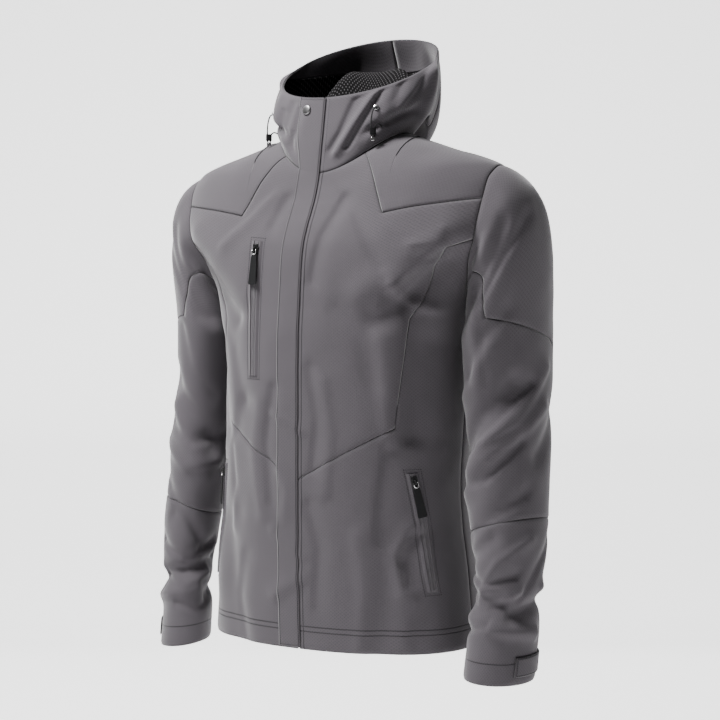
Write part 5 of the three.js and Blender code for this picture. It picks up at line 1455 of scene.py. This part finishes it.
for node, (side, top, foot) in POCKETS.items():
    path = on_body(line([foot, top], marks(48)))
    tape = lofted(f"{node}_tape", path, TAPE_SECTION, side, band_finish)
    fit(tape, node, slot="zip")
    for word, sign in (("front", -1), ("back", 1)):
        section = [(sign * by, height) for by, height in LIP_SECTION]
        fit(lofted(f"{node}_lip_{word}", path, section, side, shell_finish), slot="softshell")
    longer = on_body(line([(foot[0], foot[1] - FRAME_END), (top[0], top[1] + FRAME_END)], marks(50)))
    frame_lines = [beside(longer, by) for by in (-FRAME_HALF, FRAME_HALF)]
    for end in (0, -1):
        across = [beside(longer[[end]], by) for by in (-FRAME_HALF, -6, 0, 6, FRAME_HALF)]
        frame_lines.append(np.concatenate(across))
    stitches(f"{node}_stitches", [on_cloth(body_point, pairs, side, 0.1) for pairs in frame_lines])
    coil = on_cloth(body_point, path[1:-1], side, 1.5)
    laid_row(f"{node}_coil", [coil], COIL_PITCH, COIL, coil_finish, "zip")

# %% [markdown]
# The slider and its rubber pull have their shape in the frame. A thin metal loop joins them on the real
# jacket, so one is bent here from a round wire. It rides with the pull.

# %% Sliders and pulls
SLIDER_INSET, SLIDER_AXIS, ZIP_THICK = 12, 3.05, 1.2  # as on the solids
# How far down the zip each slider's line to its pull is taken.
PULL_LEAN = {"chest_zip": 33.6, "hand_zip_left": 27.2, "hand_zip_right": 27.2}
LOOP_HALF, LOOP_DEEP, LOOP_ARM, LOOP_WIRE = 3.1, 3.6, 3.7, 0.6
for node, (side, top, foot) in POCKETS.items():
    stem = "chest" if node == "chest_zip" else "hand"
    word = "" if stem == "chest" else "_" + node.rsplit("_", 1)[-1]
    body = f"pull_{stem}{word}"
    eased(f"zip_slider_{stem}{word}", f"{stem}_slider{word}", plastic_finish, "plastic", 0.45)
    eased(f"rubber_pull_{stem}{word}", f"{stem}_pull{word}", pull_finish, "pull", 0.4, body)
    path = on_body(line([top, foot], marks(200)))
    run = run_of(body_point(*path.T))
    i, j = (int(np.searchsorted(run, down)) for down in (SLIDER_INSET, SLIDER_INSET + PULL_LEAN[node]))
    (start, low), (normal, _) = on_cloth(body_point, path[[i, j]], side)
    upward = unit(start - low)
    normal = unit(normal - upward * (normal @ upward))
    across = np.cross(upward, normal)
    centre = start + normal * (OVER + ZIP_THICK + LIFT + SLIDER_AXIS + 0.9) - upward * 3.4
    bend = np.linspace(math.pi, 2 * math.pi, 15)
    arc = centre + LOOP_HALF * np.outer(np.cos(bend), across) + LOOP_DEEP * np.outer(np.sin(bend), upward)
    arc = np.concatenate([arc[:1] + upward * LOOP_ARM, arc, arc[-1:] + upward * LOOP_ARM])
    loop = tube(f"wire_loop_{stem}{word}", arc, LOOP_WIRE, metal_finish, 10)
    fit(loop, body=body, slot="metal")

# %% [markdown]
# The snap is a turned dome on the flap. Its outline is given as shares of its radius and its height.

# %% Snap
SNAP_PLACE, SNAP_RADIUS, SNAP_HEIGHT, SNAP_SIDES = (-27, 1.82), 7.0, 2.6, 48
SNAP_PROFILE = [
    (1, 0), (1, 0.3), (0.96, 0.52), (0.88, 0.7), (0.78, 0.8), (0.6, 0.9), (0.4, 0.96), (0.2, 0.99),
]
(snap_base,), (snap_way,) = on_cloth(front_point, [SNAP_PLACE])
snap_base = snap_base + snap_way * (FLAP_HIGH + LIFT)
side_way = unit(np.cross(snap_way, (0, 0, 1)))
other_way = np.cross(snap_way, side_way)
rings = [ring_at(snap_base + snap_way * height * SNAP_HEIGHT, radius * SNAP_RADIUS, side_way, other_way,
                 SNAP_SIDES) for radius, height in SNAP_PROFILE]
points = np.concatenate([*rings, [snap_base, snap_base + snap_way * SNAP_HEIGHT]])
snap = new_mesh("snap_dome", points, ring_faces(len(rings), SNAP_SIDES), [snap_finish])
face_outwards(snap)
fit(snap, "snap_cap", slot="metal")
print("snap at", np.round(snap_base, 1).tolist())

# %% [markdown]
# The stage is a pale floor that turns up into a pale wall, far enough away to carry no hard shadow. The paper
# glows a little, as a lit studio sweep does. One soft lamp stands high on the left of the camera. A much
# weaker one stands behind the jacket and lights its edges. The world is dim, so that the folds keep their
# shade.

# %% Stage and light
PAPER_GLOW, WORLD_GLOW = 1.45, 0.08
SWEEP = [(-3.0, -1.2), (1.4, -1.2), (2.1, -1.1), (2.5, -0.8), (2.7, -0.2), (2.8, 3.2)]  # in y and z, metres
SWEEP_HALF = 4.0


def sweep(name):
    edge = smooth_curve([(0, y, z) for y, z in SWEEP], 8)
    points = np.concatenate([edge + (x, 0, 0) for x in (-SWEEP_HALF, SWEEP_HALF)]) / MM
    count = len(edge)
    faces = [[i, count + i, count + i + 1, i + 1] for i in range(count - 1)]
    material, _, shader = new_finish("studio_paper", (0.9, 0.9, 0.9), 0.9)
    shader.inputs["Emission Color"].default_value = (1, 1, 1, 1)
    shader.inputs["Emission Strength"].default_value = PAPER_GLOW
    paper = new_mesh(name, points, faces, [material])
    paper.data.transform(Matrix.Rotation(VIEW_AZIMUTH, 4, "Z"))


def soft_light(name, azimuth, elevation, distance, size, power):
    lamp = bpy.data.lights.new(name, "AREA")
    lamp.shape, lamp.size, lamp.energy = "DISK", size, power
    light = new_object(name, lamp)
    a, e = math.radians(azimuth), math.radians(elevation)
    way = Vector((math.sin(a) * math.cos(e), -math.cos(a) * math.cos(e), math.sin(e)))
    light.location = way * distance + Vector((0, 0, -0.3))
    light.rotation_euler = way.to_track_quat("Z", "Y").to_euler()


sweep("studio_floor")
soft_light("key", -38, 60, 2.1, 0.7, 138)
soft_light("back", 210, 45, 3.4, 1.8, 8)
world = bpy.data.worlds.new("studio")
world.use_nodes = True
background = world.node_tree.nodes["Background"]
background.inputs[0].default_value, background.inputs[1].default_value = (1, 1, 1, 1), WORLD_GLOW
bpy.context.scene.world = world
